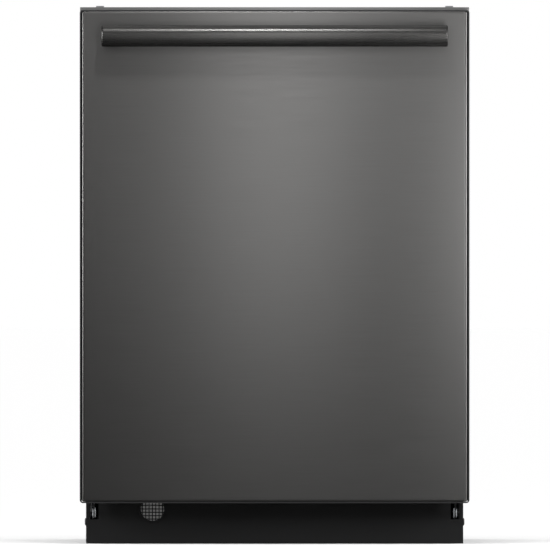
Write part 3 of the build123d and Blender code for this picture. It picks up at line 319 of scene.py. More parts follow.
def surface(name, base, rough, metal=0.0, vary=0.08, stretch=(1, 1, 1), scale=400.0, rough_vary=0.06,
            bump_strength=0.1, bump_distance=0.0002, aniso=0.0, coat=0.0, cloud=0.0, sheen=0.0):
    """A base colour with fine grain, patchy variation, uneven gloss and a matching relief."""
    mat = bpy.data.materials.new(name)
    mat.use_nodes = True
    tree = mat.node_tree
    bsdf = tree.nodes["Principled BSDF"]
    bsdf.inputs["Base Color"].default_value = (*base, 1)
    bsdf.inputs["Roughness"].default_value = rough
    bsdf.inputs["Metallic"].default_value = metal
    fine = grain(tree, stretch, scale)
    dark = tuple(c * (1 - vary) for c in base)
    light = tuple(min(1, c * (1 + vary)) for c in base)
    colour = mix(tree, fine, dark, light)
    if cloud:
        patches = spread(tree, grain(tree, (1, 1, 1), 9.0, 3.0), 0, 1)
        colour = multiply(tree, colour, mix(tree, patches, (1 - cloud,) * 3, (1.0,) * 3))
    tree.links.new(colour, bsdf.inputs["Base Color"])
    gloss = spread(tree, fine, max(0.02, rough - rough_vary), min(1, rough + rough_vary))
    tree.links.new(gloss, bsdf.inputs["Roughness"])
    if bump_strength:
        relief = node(tree, "ShaderNodeBump", Strength=bump_strength, Distance=bump_distance)
        tree.links.new(fine, relief.inputs["Height"])
        tree.links.new(relief.outputs["Normal"], bsdf.inputs["Normal"])
    if aniso:
        bsdf.inputs["Anisotropic"].default_value = aniso
        bsdf.inputs["Anisotropic Rotation"].default_value = BRUSHED_ALONG_U
        tangent = tree.nodes.new("ShaderNodeTangent")
        tangent.direction_type = "UV_MAP"
        tangent.uv_map = "UVMap"
        tree.links.new(tangent.outputs["Tangent"], bsdf.inputs["Tangent"])
    if coat:
        bsdf.inputs["Coat Weight"].default_value = coat
        bsdf.inputs["Coat Roughness"].default_value = 0.12
    if sheen:
        bsdf.inputs["Sheen Weight"].default_value = sheen
        bsdf.inputs["Sheen Roughness"].default_value = 0.5
    return mat


BRUSH_X = (0.012, 1, 1)
BRUSH_Z = (1, 1, 0.012)
DOOR = surface("black_stainless_brushed", (0.215, 0.212, 0.208), rough=0.36, metal=1.0, vary=0.10,
               stretch=BRUSH_X, scale=900, rough_vary=0.05, bump_strength=0.06, bump_distance=0.00004,
               aniso=0.65)
BAR = surface("handle_dark_metal", (0.125, 0.123, 0.12), rough=0.28, metal=1.0, vary=0.10,
              stretch=BRUSH_X, scale=700, rough_vary=0.04, bump_strength=0.05, bump_distance=0.00004,
              aniso=0.3)
EDGE = surface("edge_black", (0.018, 0.018, 0.019), rough=0.42, vary=0.15, scale=1500, bump_strength=0.08)
TOE = surface("toe_black_matte", (0.008, 0.008, 0.0085), rough=0.55, vary=0.2, scale=2200,
              bump_strength=0.15, bump_distance=0.0001, cloud=0.1)
STEEL = surface("stainless_brushed", (0.58, 0.58, 0.575), rough=0.3, metal=1.0, stretch=BRUSH_X,
                scale=700, bump_strength=0.05, bump_distance=0.00004, aniso=0.5)
STEEL_V = surface("stainless_tub", (0.6, 0.6, 0.595), rough=0.26, metal=1.0, vary=0.06, stretch=BRUSH_Z,
                  scale=500, rough_vary=0.05, bump_strength=0.04, bump_distance=0.00005, cloud=0.05)
# The front frame's steel: the same brushed stainless made darker. Its lower base colour is painted shade for
# the dim light on the frame's face.
FRAME_STEEL_PAINTED_SHADE = surface("frame_steel_painted_shade", (0.36, 0.36, 0.358), rough=0.34, metal=1.0, stretch=BRUSH_X, scale=700,
               bump_strength=0.05, bump_distance=0.00004)
ZINC = surface("zinc_plate", (0.52, 0.53, 0.54), rough=0.32, metal=1.0, vary=0.18, scale=160,
               bump_strength=0.05, cloud=0.12)
SPRING = surface("spring_wire", (0.42, 0.42, 0.42), rough=0.3, metal=1.0, vary=0.15, scale=900)
GREY = surface("grey_moulding", (0.21, 0.22, 0.24), rough=0.5, scale=1300, bump_strength=0.12, cloud=0.06)
LIGHT = surface("light_moulding", (0.5, 0.52, 0.54), rough=0.45, vary=0.05, scale=1300, cloud=0.05)
DARK = surface("dark_moulding", (0.02, 0.02, 0.022), rough=0.5, vary=0.15, scale=1100,
               bump_strength=0.15, cloud=0.1)
RUBBER = surface("black_rubber", (0.012, 0.012, 0.012), rough=0.75, vary=0.2, scale=1800,
                 bump_strength=0.2)
GREY_RUBBER = surface("grey_rubber", (0.09, 0.09, 0.095), rough=0.7, vary=0.12, scale=1500,
                      bump_strength=0.15)
COATING = surface("rack_coating", (0.17, 0.19, 0.225), rough=0.38, vary=0.06, scale=600,
                  bump_strength=0.06, coat=0.25)
FELT = surface("sound_felt", (0.035, 0.034, 0.032), rough=0.95, vary=0.5, scale=700,
               bump_strength=0.8, bump_distance=0.001, cloud=0.3, sheen=0.4)
HEATER = surface("heater_sheath", (0.2, 0.19, 0.175), rough=0.45, metal=1.0, vary=0.25, scale=500,
                 cloud=0.25)
VENT_FOAM = surface("vent_foam", (0.52, 0.52, 0.51), rough=0.9, vary=0.25, scale=900,
                    bump_strength=0.4, cloud=0.1)

SLOT_MATERIAL = {
    "black_stainless": DOOR, "dark_edge": EDGE, "toe_black": TOE, "stainless": STEEL_V,
    "zinc_steel": ZINC, "spring_steel": SPRING, "grey_plastic": GREY, "light_plastic": LIGHT,
    "dark_plastic": DARK, "black_rubber": RUBBER, "grey_rubber": GREY_RUBBER,
    "rack_coating": COATING, "felt": FELT, "heater_steel": HEATER,
}
# The front frame takes the darker steel with painted shade; every other part takes its slot's material.
for name, obj in NODES.items():
    obj.data.materials.clear()
    obj.data.materials.append(FRAME_STEEL_PAINTED_SHADE if name == "front_frame" else SLOT_MATERIAL[slot_of(name)])


# ------------------------------------------------------------------ door face and handle
def door_panel():
    """The front sheet, bent back along its sides, with small rounded corners."""
    lo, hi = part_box("door_panel")
    bend = 0.0046               # radius of the bend at the sides
    lift = 0.0004               # what the bend takes off the top and the bottom
    corner = 0.0042
    b = Build()
    rings = [wall_ring(lo.x, hi.x, lo.z, hi.z, corner, hi.y)]
    for a in quarter(10):
        inset, rise = bend * (1 - math.cos(a)), lift * (1 - math.cos(a))
        rings.append(wall_ring(lo.x + inset, hi.x - inset, lo.z + rise, hi.z - rise,
                               max(corner - inset, 0.0012), lo.y + bend * (1 - math.sin(a))))
    rings.append(wall_ring(lo.x + 0.007, hi.x - 0.007, lo.z + 0.004, hi.z - 0.004, 0.0008, lo.y))
    b.rings(rings)
    b.done("door_panel_skin", DOOR, "door", "door_panel", smooth=50)


def bar_section(lo, hi, x, shrink):
    """The handle's outline at x, drawn in towards its middle by shrink."""
    front, rear, top, foot = lo.y, hi.y, hi.z, lo.z
    edge = 0.001
    easing = 0.0006
    round_over = 0.0144                         # radius of the curve over the front of the top
    sweep = math.radians(62)
    tuck = 0.0046                               # how far the lower front falls back
    flat = 0.0088                               # from the front to where the flat top starts
    brow = top - easing - round_over * math.sin(sweep)
    outline = [(rear, foot + edge), (rear, top - edge), (rear - edge, top), (front + flat, top)]
    for k in range(19):
        a = sweep * (1 - k / 18)
        outline.append((front + round_over * (1 - math.cos(a)), brow + round_over * math.sin(a)))
    for k in range(1, 13):
        t = k / 12
        outline.append((front + tuck * t ** 1.6, brow - (brow - foot - easing) * t))
    outline.append((front + tuck + 0.0012, foot))
    _, my, mz = centre(lo, hi)
    half_y, half_z = (rear - front) / 2, (top - foot) / 2
    return [Vector((x, my + (y - my) * (1 - shrink / half_y), mz + (z - mz) * (1 - shrink / half_z)))
            for y, z in outline]


def handle_bar():
    """The bar, with its ends drawn in over three short steps."""
    lo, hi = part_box("handle_bar")
    ends = ((0.0, 0.0018), (0.0006, 0.0006), (0.0018, 0.0))     # distance from the end, and shrink
    spans = 12
    rings = [bar_section(lo, hi, lo.x + dx, shrink) for dx, shrink in ends]
    rings += [bar_section(lo, hi, lo.x + (hi.x - lo.x) * k / spans, 0) for k in range(1, spans)]
    rings += [bar_section(lo, hi, hi.x - dx, shrink) for dx, shrink in ends[::-1]]
    b = Build()
    b.rings(rings)
    b.done("handle_bar_skin", BAR, "door", "handle_bar", smooth=20)


def handle_posts():
    """The two posts behind the ends of the bar."""
    lo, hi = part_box("handle_posts")
    width = 0.018
    b = Build()
    for side in (-1, 1):
        x0, x1 = sorted((side * hi.x, side * (hi.x - width)))
        b.rounded((x0, lo.y, lo.z), (x1, hi.y, hi.z), 0.004, 4)
    b.done("handle_posts_skin", EDGE, "door", "handle_posts")


# ------------------------------------------------------------------ toe vent
def toe_vent():
    """A round frame with a grid of thin bars over pale foam."""
    lo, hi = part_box("toe_vent_grille")
    cx, _, cz = centre(lo, hi)
    outer = (hi.x - lo.x) / 2
    inner = outer - 0.0036
    neck = outer - 0.0017           # the part that goes through the toe panel
    flange = lo.y + 0.003
    b = Build()
    b.lathe([(outer, lo.y + 0.0012), (outer - 0.0008, lo.y + 0.0004), (outer - 0.0016, lo.y),
             (outer - 0.0030, lo.y), (inner, lo.y + 0.0006), (inner, hi.y), (neck, hi.y),
             (neck, flange), (outer, flange)], (cx, 0, cz), "Y", 56, ring=True)
    pitch = 0.0052
    bar = 0.0008                    # half of a bar's width
    edge = 0.0003
    for k in range(-3, 4):
        off = k * pitch
        half = math.sqrt((outer - 0.003) ** 2 - off ** 2)
        b.rounded((cx - half, lo.y + 0.0006, cz + off - bar), (cx + half, lo.y + 0.0022, cz + off + bar),
                  edge, 1)
        b.rounded((cx + off - bar, lo.y + 0.0010, cz - half), (cx + off + bar, lo.y + 0.0024, cz + half),
                  edge, 1)
    b.done("toe_vent_grille_bars", TOE, "cabinet", "toe_vent_grille")
    foam = inner - 0.0001
    b = Build()
    b.lathe([(0, 0), (foam, 0), (foam, 0.0008), (0, 0.0008)], (cx, lo.y + 0.0045, cz), "Y", 48)
    b.done("toe_vent_backing", VENT_FOAM, "cabinet", "toe_vent_grille")


# ------------------------------------------------------------------ racks
WIRE = 0.0016                   # radius of a coated wire
RIM = 0.0025                    # radius of a rack's top rim
WHEEL_BEYOND = 0.013            # how far the wheels reach past the lower rack's side
RACK_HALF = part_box("lower_wheels_front")[1].x - WHEEL_BEYOND
TINE_ROWS = (0.028, RACK_HALF * 0.4, RACK_HALF * 0.56, RACK_HALF * 0.72)


def rack_wires(b, y0, y1, floor, top, slope, levels, pitch=0.0255):
    """Rims, hoops and U-shaped wires of a rack. slope is the height of a slanted front, or 0."""
    h = RACK_HALF - RIM
    crossing = floor + 2.4 * WIRE           # cross wires sink a little into the long ones
    for z, r, sides in [(top - RIM, RIM, 12)] + [(z, WIRE, 8) for z in levels]:
        front = y0 + RIM + max(0.0, slope - (z - floor))
        ring = [(-h, front, z), (h, front, z), (h, y1 - RIM, z), (-h, y1 - RIM, z)]
        b.tube(fillet_path(ring, 0.022, 6, closed=True), r, sides, closed=True)
    for x in spaced(-h + 0.02, h - 0.02, pitch):
        path = [(x, y0 + RIM, top - RIM)]
        if slope:
            path += [(x, y0 + RIM, floor + slope)]
        path += [(x, y0 + RIM + slope, floor + WIRE), (x, y1 - RIM, floor + WIRE), (x, y1 - RIM, top - RIM)]
        b.tube(fillet_path(path, 0.012, 4), WIRE, 8)
    for y in spaced(y0 + slope + 0.02, y1 - 0.02, pitch):
        path = [(-h, y, top - RIM), (-h, y, crossing), (h, y, crossing), (h, y, top - RIM)]
        b.tube(fillet_path(path, 0.012, 4), WIRE, 8)


def tine(b, x, y, z0, z1, lean=0.0):
    """An upright wire that leans back by lean at its tip."""
    tip = 0.001
    b.tube([(x, y, z0), (x, y + lean * 0.5, (z0 + z1) / 2), (x, y + lean, z1 - tip), (x, y + lean, z1)],
           WIRE, 8)


def tine_rows(b, places, overhang, floor, height):
    """Rows of leaning tines, each row on a wire that runs past them by overhang."""
    for x in TINE_ROWS:
        b.tube([(x, places[0] - overhang, floor + 0.005), (x, places[-1] + overhang, floor + 0.005)], WIRE, 8)
        for y in places:
            tine(b, x, y, floor + 0.003, floor + height, 0.004)


def lower_rack():
    """The lower rack's wires, with the axles of its wheels on plates at its sides."""
    lo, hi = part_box("lower_rack")
    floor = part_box("silverware_basket")[0].z - 0.004
    b = Build()
    rack_wires(b, lo.y, hi.y, floor, hi.z, 0.032, [floor + 0.034, floor + 0.068, floor + 0.104])
    tine_rows(b, spaced(lo.y + 0.16, hi.y - 0.02, 0.042), 0.008, floor, 0.076)
    for pair in ("lower_wheels_front", "lower_wheels_rear"):
        _, yc, zc = centre(*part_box(pair))
        for side in (-1, 1):
            b.tube([(side * (RACK_HALF - 0.006), yc, zc), (side * (RACK_HALF + 0.0145), yc, zc)], 0.0038, 16)
            x0, x1 = sorted((side * (RACK_HALF - 0.004), side * RACK_HALF))
            b.rounded((x0, yc - 0.011, zc - 0.009), (x1, yc + 0.011, floor + 0.012), 0.0015)
    b.done("lower_rack_wires", COATING, "lower_rack", "lower_rack")


def wheels(pair, body):
    """Two wheels: a tread, a hub, a thin web between them and six ribs on the web."""
    lo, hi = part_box(pair)
    _, yc, zc = centre(lo, hi)
    tread = (hi.z - lo.z) / 2
    inside = tread - 0.004
    half = 0.0053                   # half of the wheel's width
    chamfer = 0.0012
    hub, bore = 0.0078, 0.0042
    web = 0.0011                    # half of the web's thickness
    web_in = hub - 0.0006
    rib_x, rib_half = 0.004, 0.0009
    b = Build()
    for side in (-1, 1):
        xm = side * (hi.x - 0.0055)
        b.lathe([(tread, -half + chamfer), (tread, half - chamfer), (tread - chamfer, half), (inside, half),
                 (inside, -half), (tread - chamfer, -half)], (xm, yc, zc), "X", 40, ring=True)
        b.lathe([(hub, -half), (hub, half), (bore, half), (bore, -half)], (xm, yc, zc), "X", 28, ring=True)
        b.lathe([(tread - 0.0035, -web), (tread - 0.0035, web), (web_in, web), (web_in, -web)],
                (xm, yc, zc), "X", 40, ring=True)
        for k in range(6):
            a = math.pi * k / 3
            ca, sa = math.cos(a), math.sin(a)
            rings = []
            for r in (web_in, tread - 0.0036):
                rings.append([Vector((xm + sx * rib_x, yc + r * ca - st * rib_half * sa,
                                      zc + r * sa + st * rib_half * ca))
                              for sx, st in ((-1, -1), (1, -1), (1, 1), (-1, 1))])
            b.rings(rings)
    b.done(pair + "_skin", LIGHT, body, pair)


def fold_tines():
    """A row of tines on the rod that they fold about."""
    lo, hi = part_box("fold_tines")
    pivot_z = lo.z + 0.003
    yc = (lo.y + hi.y) / 2
    b = Build()
    b.tube([(lo.x, yc, pivot_z), (hi.x, yc, pivot_z)], 0.0024, 12)
    for x in spaced(lo.x + 0.008, hi.x - 0.008, 0.026):
        tine(b, x, yc, pivot_z, hi.z)
    b.done("fold_tines_wires", COATING, "fold_tines", "fold_tines")


def upper_rack():
    """The upper rack's wires, with the blocks that hold it between its rails."""
    lo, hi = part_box("upper_rack")
    rail_lo, rail_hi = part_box("upper_rack_rails")
    b = Build()
    rack_wires(b, lo.y, hi.y, lo.z, hi.z, 0.0, [lo.z + 0.036, lo.z + 0.078])
    tine_rows(b, spaced(lo.y + 0.03, hi.y - 0.03, 0.045), 0.01, lo.z, 0.058)
    for side in (-1, 1):
        x0, x1 = sorted((side * (RACK_HALF - 0.005), side * (RACK_HALF + 0.0078)))
        b.rounded((x0, hi.y - 0.15, rail_lo.z), (x1, hi.y - 0.012, rail_hi.z), 0.002)
    b.done("upper_rack_wires", COATING, "upper_rack", "upper_rack")


def cup_shelf():
    """A hinge rod, a frame and the wires across it."""
    lo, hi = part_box("cup_shelf")
    zc = (lo.z + hi.z) / 2
    rod_x = lo.x + 0.003
    thin = 0.0013
    b = Build()
    b.tube([(rod_x, lo.y, zc), (rod_x, hi.y, zc)], 0.0028, 12)
    outline = [(rod_x, lo.y + 0.004, zc), (hi.x - 0.002, lo.y + 0.004, zc), (hi.x - 0.002, hi.y - 0.004, zc),
               (rod_x, hi.y - 0.004, zc)]
    b.tube(fillet_path(outline, 0.018, 6), 0.002, 10)
    for y in spaced(lo.y + 0.02, hi.y - 0.02, 0.022):
        b.tube([(rod_x, y, zc), (hi.x - 0.003, y, zc)], thin, 8)
    for x in (lo.x + 0.04, lo.x + 0.072):
        b.tube([(x, lo.y + 0.005, zc - 0.001), (x, hi.y - 0.005, zc - 0.001)], thin, 8)
    b.done("cup_shelf_wires", COATING, "cup_shelf", "cup_shelf")


# ------------------------------------------------------------------ silverware basket
def lattice(b, across, at, u0, u1, z0, z1, thick, pitch_u=0.0125, pitch_z=0.0185):
    """An open wall of slats. across is the axis through the wall."""
    def slat(ua, ub, za, zb):
        if across == "y":
            b.rounded((ua, at - thick / 2, za), (ub, at + thick / 2, zb), 0.0005, 1)
        else:
            b.rounded((at - thick / 2, ua, za), (at + thick / 2, ub, zb), 0.0005, 1)
    for z in spaced(z0 + 0.0015, z1 - 0.0015, pitch_z):
        slat(u0, u1, z - 0.0013, z + 0.0013)
    for u in spaced(u0 + 0.0012, u1 - 0.0012, pitch_u):
        slat(u - 0.0011, u + 0.0011, z0, z1)


def silverware_basket():
    """Lattice walls round two rows of three cells, a slatted floor and a bowed grip."""
    lo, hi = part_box("silverware_basket")
    top = lo.z + 0.112
    wall = 0.0022
    slat = 0.0012                   # half of a floor slat's width
    columns = 3
    ym = (lo.y + hi.y) / 2
    b = Build()
    for y in (lo.y + wall / 2, hi.y - wall / 2, ym):
        lattice(b, "y", y, lo.x, hi.x, lo.z, top, wall)
    for k in range(columns + 1):
        x = lo.x + wall / 2 + (hi.x - lo.x - wall) * k / columns
        lattice(b, "x", x, lo.y, hi.y, lo.z, top, wall)
    for y in spaced(lo.y + 0.002, hi.y - 0.002, 0.0085):
        b.rounded((lo.x, y - slat, lo.z), (hi.x, y + slat, lo.z + 0.0022), 0.0005, 1)
    for x in spaced(lo.x + 0.002, hi.x - 0.002, 0.0095):
        b.rounded((x - slat, lo.y, lo.z + 0.0004), (x + slat, hi.y, lo.z + 0.0020), 0.0005, 1)
    grip = [(lo.x + 0.004, ym, top - 0.004), (lo.x + 0.006, ym, hi.z - 0.004),
            (hi.x - 0.006, ym, hi.z - 0.004), (hi.x - 0.004, ym, top - 0.004)]
    b.tube(fillet_path(grip, 0.02, 8), 0.0036, 14)
    b.done("silverware_basket_lattice", GREY, "lower_rack", "silverware_basket")


# ------------------------------------------------------------------ spray arms
def spray_arm(name, side_jets):
    """A hollow two-bladed arm: a lofted skin, a raised hub and rows of jets."""
    lo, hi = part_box(name)
    _, yc, zc = centre(lo, hi)
    thick = (hi.z - lo.z) / 2
    width = (hi.y - lo.y) / 2
    reach = hi.x
    root = 0.012                    # where a blade starts, inside the hub
    stations = 12
    collar = width * 0.42           # the bearing's hole
    recess = width * 0.5
    jet = [(0, 0.0004), (0.0016, 0.0004), (0.0019, 0.0012), (0.0034, 0.0012), (0.0042, -0.001)]
    b = Build()
    for side in (-1, 1):
        rings = []
        for k in range(stations + 1):
            t = k / stations
            x = side * (root + (reach - root) * t)
            w = width * (0.86 - 0.42 * t) * (1 if k < stations else 0.8)
            h = thick * (0.82 - 0.2 * t) * (1 if k < stations else 0.7)
            around = [superellipse(a, w, h, 0.6, 0.8) for a in turn(20)]
            rings.append([Vector((x, yc + u, zc + v)) for u, v in around])
        b.rings(rings)
        for k in range(side_jets):
            t = 0.2 + 0.72 * k / (side_jets - 1)
            dy = (0.3 if k % 2 else -0.3) * width * (0.86 - 0.42 * t)
            z = zc + thick * (0.8 - 0.2 * t) - 0.0006
            b.lathe(jet, (side * reach * t, yc + dy, z), "Z", 18)
    b.lathe([(width, -thick), (width, thick - 0.002), (width - 0.002, thick), (recess, thick),
             (recess, thick - 0.003), (collar, thick - 0.003), (collar, -thick)],
            (0, yc, zc), "Z", 48, ring=True)
    b.done(name + "_skin", GREY, name, name)


# ------------------------------------------------------------------ balance springs
def balance_springs():
    """A coil spring at each side, and the cable that runs from it round the pulley up to the door."""
    lo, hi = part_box("door_springs")
    pulley_lo, pulley_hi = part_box("cable_pulleys")
    py, pz = (pulley_lo.y + pulley_hi.y) / 2, (pulley_lo.z + pulley_hi.z) / 2
    pulley_width = 0.005
    arm_x = (pulley_hi.x + (pulley_hi.x - pulley_width)) / 2
    coil, wire = 0.0042, 0.0008     # radii
    spring_z = lo.z + 0.005
    anchor_y = hi.y - 0.005
    coil_end = anchor_y - 0.008
    coil_start = coil_end - 0.18
    turns, per_turn = 58, 10
    run = pz - spring_z             # radius of the cable's path round the pulley
    cable_radius = 0.0012
    eye = [(coil, -cable_radius), (coil, cable_radius), (0.0024, cable_radius), (0.0024, -cable_radius)]
    b = Build()
    cables = Build()
    for side in (-1, 1):
        x = side * arm_x
        path = []
        for k in range(turns * per_turn + 1):
            a = 2 * math.pi * k / per_turn
            y = coil_start + (coil_end - coil_start) * k / (turns * per_turn)
            path.append((x + coil * math.cos(a), y, spring_z + coil * math.sin(a)))
        b.tube(path, wire, 6)
        hook = [(x, coil_end - 0.001, spring_z + 0.004), (x, coil_end + 0.003, spring_z + 0.004)]
        hook += [(x, anchor_y + coil * math.cos(a), spring_z + coil * math.sin(a))
                 for a in (math.pi * 0.75 - k * math.pi / 6 for k in range(10))]
        b.tube(hook, wire, 8)
        top = (x, lo.y + cable_radius, hi.z)
        low = (x, py - run, pz + 0.002)
        cable = [tuple(top[i] + (low[i] - top[i]) * k / 24 for i in range(3)) for k in range(25)]
        cable += [(x, py - run * math.cos(a), pz - run * math.sin(a)) for a in quarter(6)[1:]]
        cable += [(x, coil_start + 0.001, spring_z)]
        cables.tube(cable, cable_radius, 10)
        cables.lathe(eye, top, "X", 20, ring=True)
    b.done("door_springs_coils", SPRING, "cabinet", "door_springs")
    cable_obj = cables.done("door_springs_cables", SPRING, None, "door_springs")
    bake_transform(cable_obj)


# ------------------------------------------------------------------ fasteners and legs
def screw_heads(name, body, material, places, axis, radius, height):
    """Domed heads with a recess in the middle. places is (place, direction) pairs."""
    dome = [(0.0, 0.0004), (0.28, 0.0004), (0.34, 0.6), (0.42, 0.95), (0.55, 1.0), (0.8, 0.8),
            (0.96, 0.45), (1.0, 0.0)]
    b = Build()
    for place, sign in places:
        b.lathe([(r * radius, sign * h * height) for r, h in dome], place, axis, 24)
    b.done(name + "_heads", material, body, name)


def screws():
    """The screws in the base's sides and along the door's edges."""
    lo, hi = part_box("base_screws")
    places = []
    for side in (-1, 1):
        for y in (lo.y + 0.006, hi.y - 0.006):
            places.append(((side * (hi.x - 0.002), y, (lo.z + hi.z) / 2), side))
    screw_heads("base_screws", "cabinet", DARK, places, "X", 0.006, 0.002)
    lo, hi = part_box("door_screws")
    places = []
    for side in (-1, 1):
        for k in range(5):
            z = lo.z + 0.004 + (hi.z - lo.z - 0.008) * k / 4
            places.append(((side * (hi.x - 0.004), lo.y, z), 1))
    screw_heads("door_screws", "door", ZINC, places, "Y", 0.004, 0.0015)


def leg(name):
    """A round foot on a threaded stem."""
    lo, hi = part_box(name)
    cx, cy, _ = centre(lo, hi)
    crest, root = 0.0049, 0.0042
    pitch = 0.0015
    foot_top = 0.01
    b = Build()
    b.lathe([(0, 0), (0.0145, 0), (0.016, 0.0015), (0.016, 0.006), (0.014, 0.0085), (0.009, foot_top),
             (0.0, foot_top)], (cx, cy, 0), "Z", 36)
    profile = [(0, foot_top - 0.001)]
    z = foot_top
    while z < hi.z - 0.003:
        profile += [(crest, z), (crest, z + 0.0003), (root, z + 0.0009), (root, z + 0.0011)]
        z += pitch
    profile += [(0.0046, hi.z - 0.001), (0.0036, hi.z), (0, hi.z)]
    b.lathe(profile, (cx, cy, 0), "Z", 24)
    b.done(name + "_thread", ZINC, name, name)


# ------------------------------------------------------------------ tub
SHEET = 0.0008                  # thickness of the tub's and the inner door's steel


def tub_wrapper():
    """The sides and top of the tub in one bent sheet, with three shallow ribs pressed outwards."""
    lo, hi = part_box("tub_wrapper")
    crest = 0.0011                  # depth of a rib
    stations = [(lo.y, 0.0)]
    for f in (0.16, 0.5, 0.84):
        yc = lo.y + (hi.y - lo.y) * f
        stations += [(yc - 0.008, 0.0), (yc - 0.004, crest), (yc + 0.004, crest), (yc + 0.008, 0.0)]
    stations.append((hi.y, 0.0))
    rings = []
    for y, rib in stations:
        outer = arch(hi.x, lo.z, hi.z, 0.0308, y)
        inner = arch(hi.x - SHEET - rib, lo.z, hi.z - SHEET - rib, 0.03, y)
        rings.append(outer + inner[::-1])
    b = Build()
    b.rings(rings)
    b.done("tub_wrapper_pressing", STEEL_V, "cabinet", "tub_wrapper")


def tub_back():
    """The back sheet, with a broad panel pressed in by half a millimetre."""
    lo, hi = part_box("tub_back")
    half = hi.x - 0.0008
    z0, z1 = lo.z + 0.0005, hi.z - 0.0005
    corner = 0.029
    rings = [wall_ring(-half, half, z0, z1, corner, hi.y, 8)]
    for inset, y in ((0.0, lo.y), (0.05, lo.y), (0.053, lo.y + 0.0005)):
        rings.append(wall_ring(-half + inset, half - inset, z0 + inset, z1 - inset,
                               max(corner - inset * 0.2, 0.012), y, 8))
    b = Build()
    b.rings(rings)
    b.done("tub_back_pressing", STEEL_V, "cabinet", "tub_back")


def tub_gasket():
    """A soft bulb that follows the tub's front edge."""
    lo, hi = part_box("tub_gasket")
    inset = 0.0035
    line = arch(hi.x - inset, lo.z + 0.0002, hi.z - inset, 0.0265, (lo.y + hi.y) / 2, 10)
    bulb = [superellipse(a, 0.0033, 0.0048, 0.7, 0.8) for a in turn(14)]
    rings = []
    for i, p in enumerate(line):
        t = (line[min(i + 1, len(line) - 1)] - line[max(i - 1, 0)]).normalized()
        side = Vector((t.z, 0, -t.x))
        rings.append([p + side * u + Vector((0, v, 0)) for u, v in bulb])
    b = Build()
    b.rings(rings)
    b.done("tub_gasket_bulb", GREY_RUBBER, "cabinet", "tub_gasket")


# ------------------------------------------------------------------ pumps
def circulation_pump():
    """A pump head with its clamp ring and screws, a ribbed motor, and the foot that it stands on."""
    lo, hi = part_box("circulation_pump")
    yc = (lo.y + hi.y) / 2
    r = (hi.y - lo.y) / 2
    zc = hi.z - r
    rib_pitch, rib_width = 0.0028, 0.0027
    head = [(0, 0.0), (r * 0.55, 0.0), (r * 0.8, 0.003), (r * 0.97, 0.009), (r, 0.016), (r, 0.028),
            (r * 0.985, 0.03), (r * 0.985, 0.034), (r, 0.036), (r * 0.98, 0.042), (r * 0.82, 0.044),
            (r * 0.8, 0.048)]
    ribs = [(r * (0.8 if k % 2 else 0.765), 0.05 + rib_pitch * k + d)
            for k in range(22) for d in (0.0, rib_width)]
    cap = [(r * 0.78, 0.1165), (r * 0.6, 0.121), (r * 0.25, 0.1225), (r * 0.25, 0.128), (0, 0.128)]
    b = Build()
    b.lathe(head + ribs + cap, (lo.x, yc, zc), "X", 48)
    b.rounded((lo.x + 0.06, yc - 0.02, lo.z), (lo.x + 0.11, yc + 0.02, zc - r * 0.55), 0.002, 2)
    screw = [(0.0022, 0.026), (0.0022, 0.038), (0.0, 0.038)]
    circle = r * 0.93
    for k in range(6):
        a = math.pi * (k + 0.5) / 3
        b.lathe(screw, (lo.x, yc + circle * math.cos(a), zc + circle * math.sin(a)), "X", 10)
    b.done("circulation_pump_body", DARK, "cabinet", "circulation_pump")


def drain_pump():
    """A short pump head and a ribbed motor, on a foot."""
    lo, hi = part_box("drain_pump")
    yc = (lo.y + hi.y) / 2
    r = (hi.y - lo.y) / 2
    zc = hi.z - r
    length = hi.x - lo.x
    rib_pitch, rib_width = 0.003, 0.0028
    head = [(0, 0.0), (r * 0.7, 0.0), (r * 0.95, -0.004), (r, -0.01), (r, -0.024), (r * 0.97, -0.029),
            (r * 0.78, -0.032), (r * 0.74, -0.034)]
    ribs = [(r * (0.76 if k % 2 else 0.72), -0.036 - rib_pitch * k - d)
            for k in range(11) for d in (0.0, rib_width)]
    cap = [(r * 0.5, -(length - 0.003)), (0, -(length - 0.002))]
    b = Build()
    b.lathe(head + ribs + cap, (hi.x, yc, zc), "X", 40)
    b.rounded((lo.x + 0.012, yc - 0.014, lo.z), (lo.x + 0.04, yc + 0.014, zc - r * 0.5), 0.002, 2)
    b.done("drain_pump_body", DARK, "cabinet", "drain_pump")


# ------------------------------------------------------------------ inner door
def holed_sheet(b, x_cuts, z_cuts, y0, y1, skip):
    """A flat sheet made of cells between the cuts, without the cells whose middle is in a box of skip."""
    n, m = len(x_cuts) - 1, len(z_cuts) - 1
    solid = {}
    for i in range(n):
        for j in range(m):
            mx, mz = (x_cuts[i] + x_cuts[i + 1]) / 2, (z_cuts[j] + z_cuts[j + 1]) / 2
            solid[i, j] = not any(s[0] < mx < s[1] and s[2] < mz < s[3] for s in skip)
    verts = [(x, y, z) for y in (y0, y1) for x in x_cuts for z in z_cuts]

    def at(layer, i, j):
        return layer * (n + 1) * (m + 1) + i * (m + 1) + j
    faces = []
    for (i, j), there in solid.items():
        if not there:
            continue
        faces.append((at(0, i, j), at(0, i + 1, j), at(0, i + 1, j + 1), at(0, i, j + 1)))
        faces.append((at(1, i, j), at(1, i, j + 1), at(1, i + 1, j + 1), at(1, i + 1, j)))
        for di, dj, p, q in ((-1, 0, (i, j), (i, j + 1)), (1, 0, (i + 1, j + 1), (i + 1, j)),
                             (0, -1, (i + 1, j), (i, j)), (0, 1, (i, j + 1), (i + 1, j + 1))):
            if not solid.get((i + di, j + dj), False):
                faces.append((at(0, *p), at(0, *q), at(1, *q), at(1, *p)))
    b.add(verts, faces)


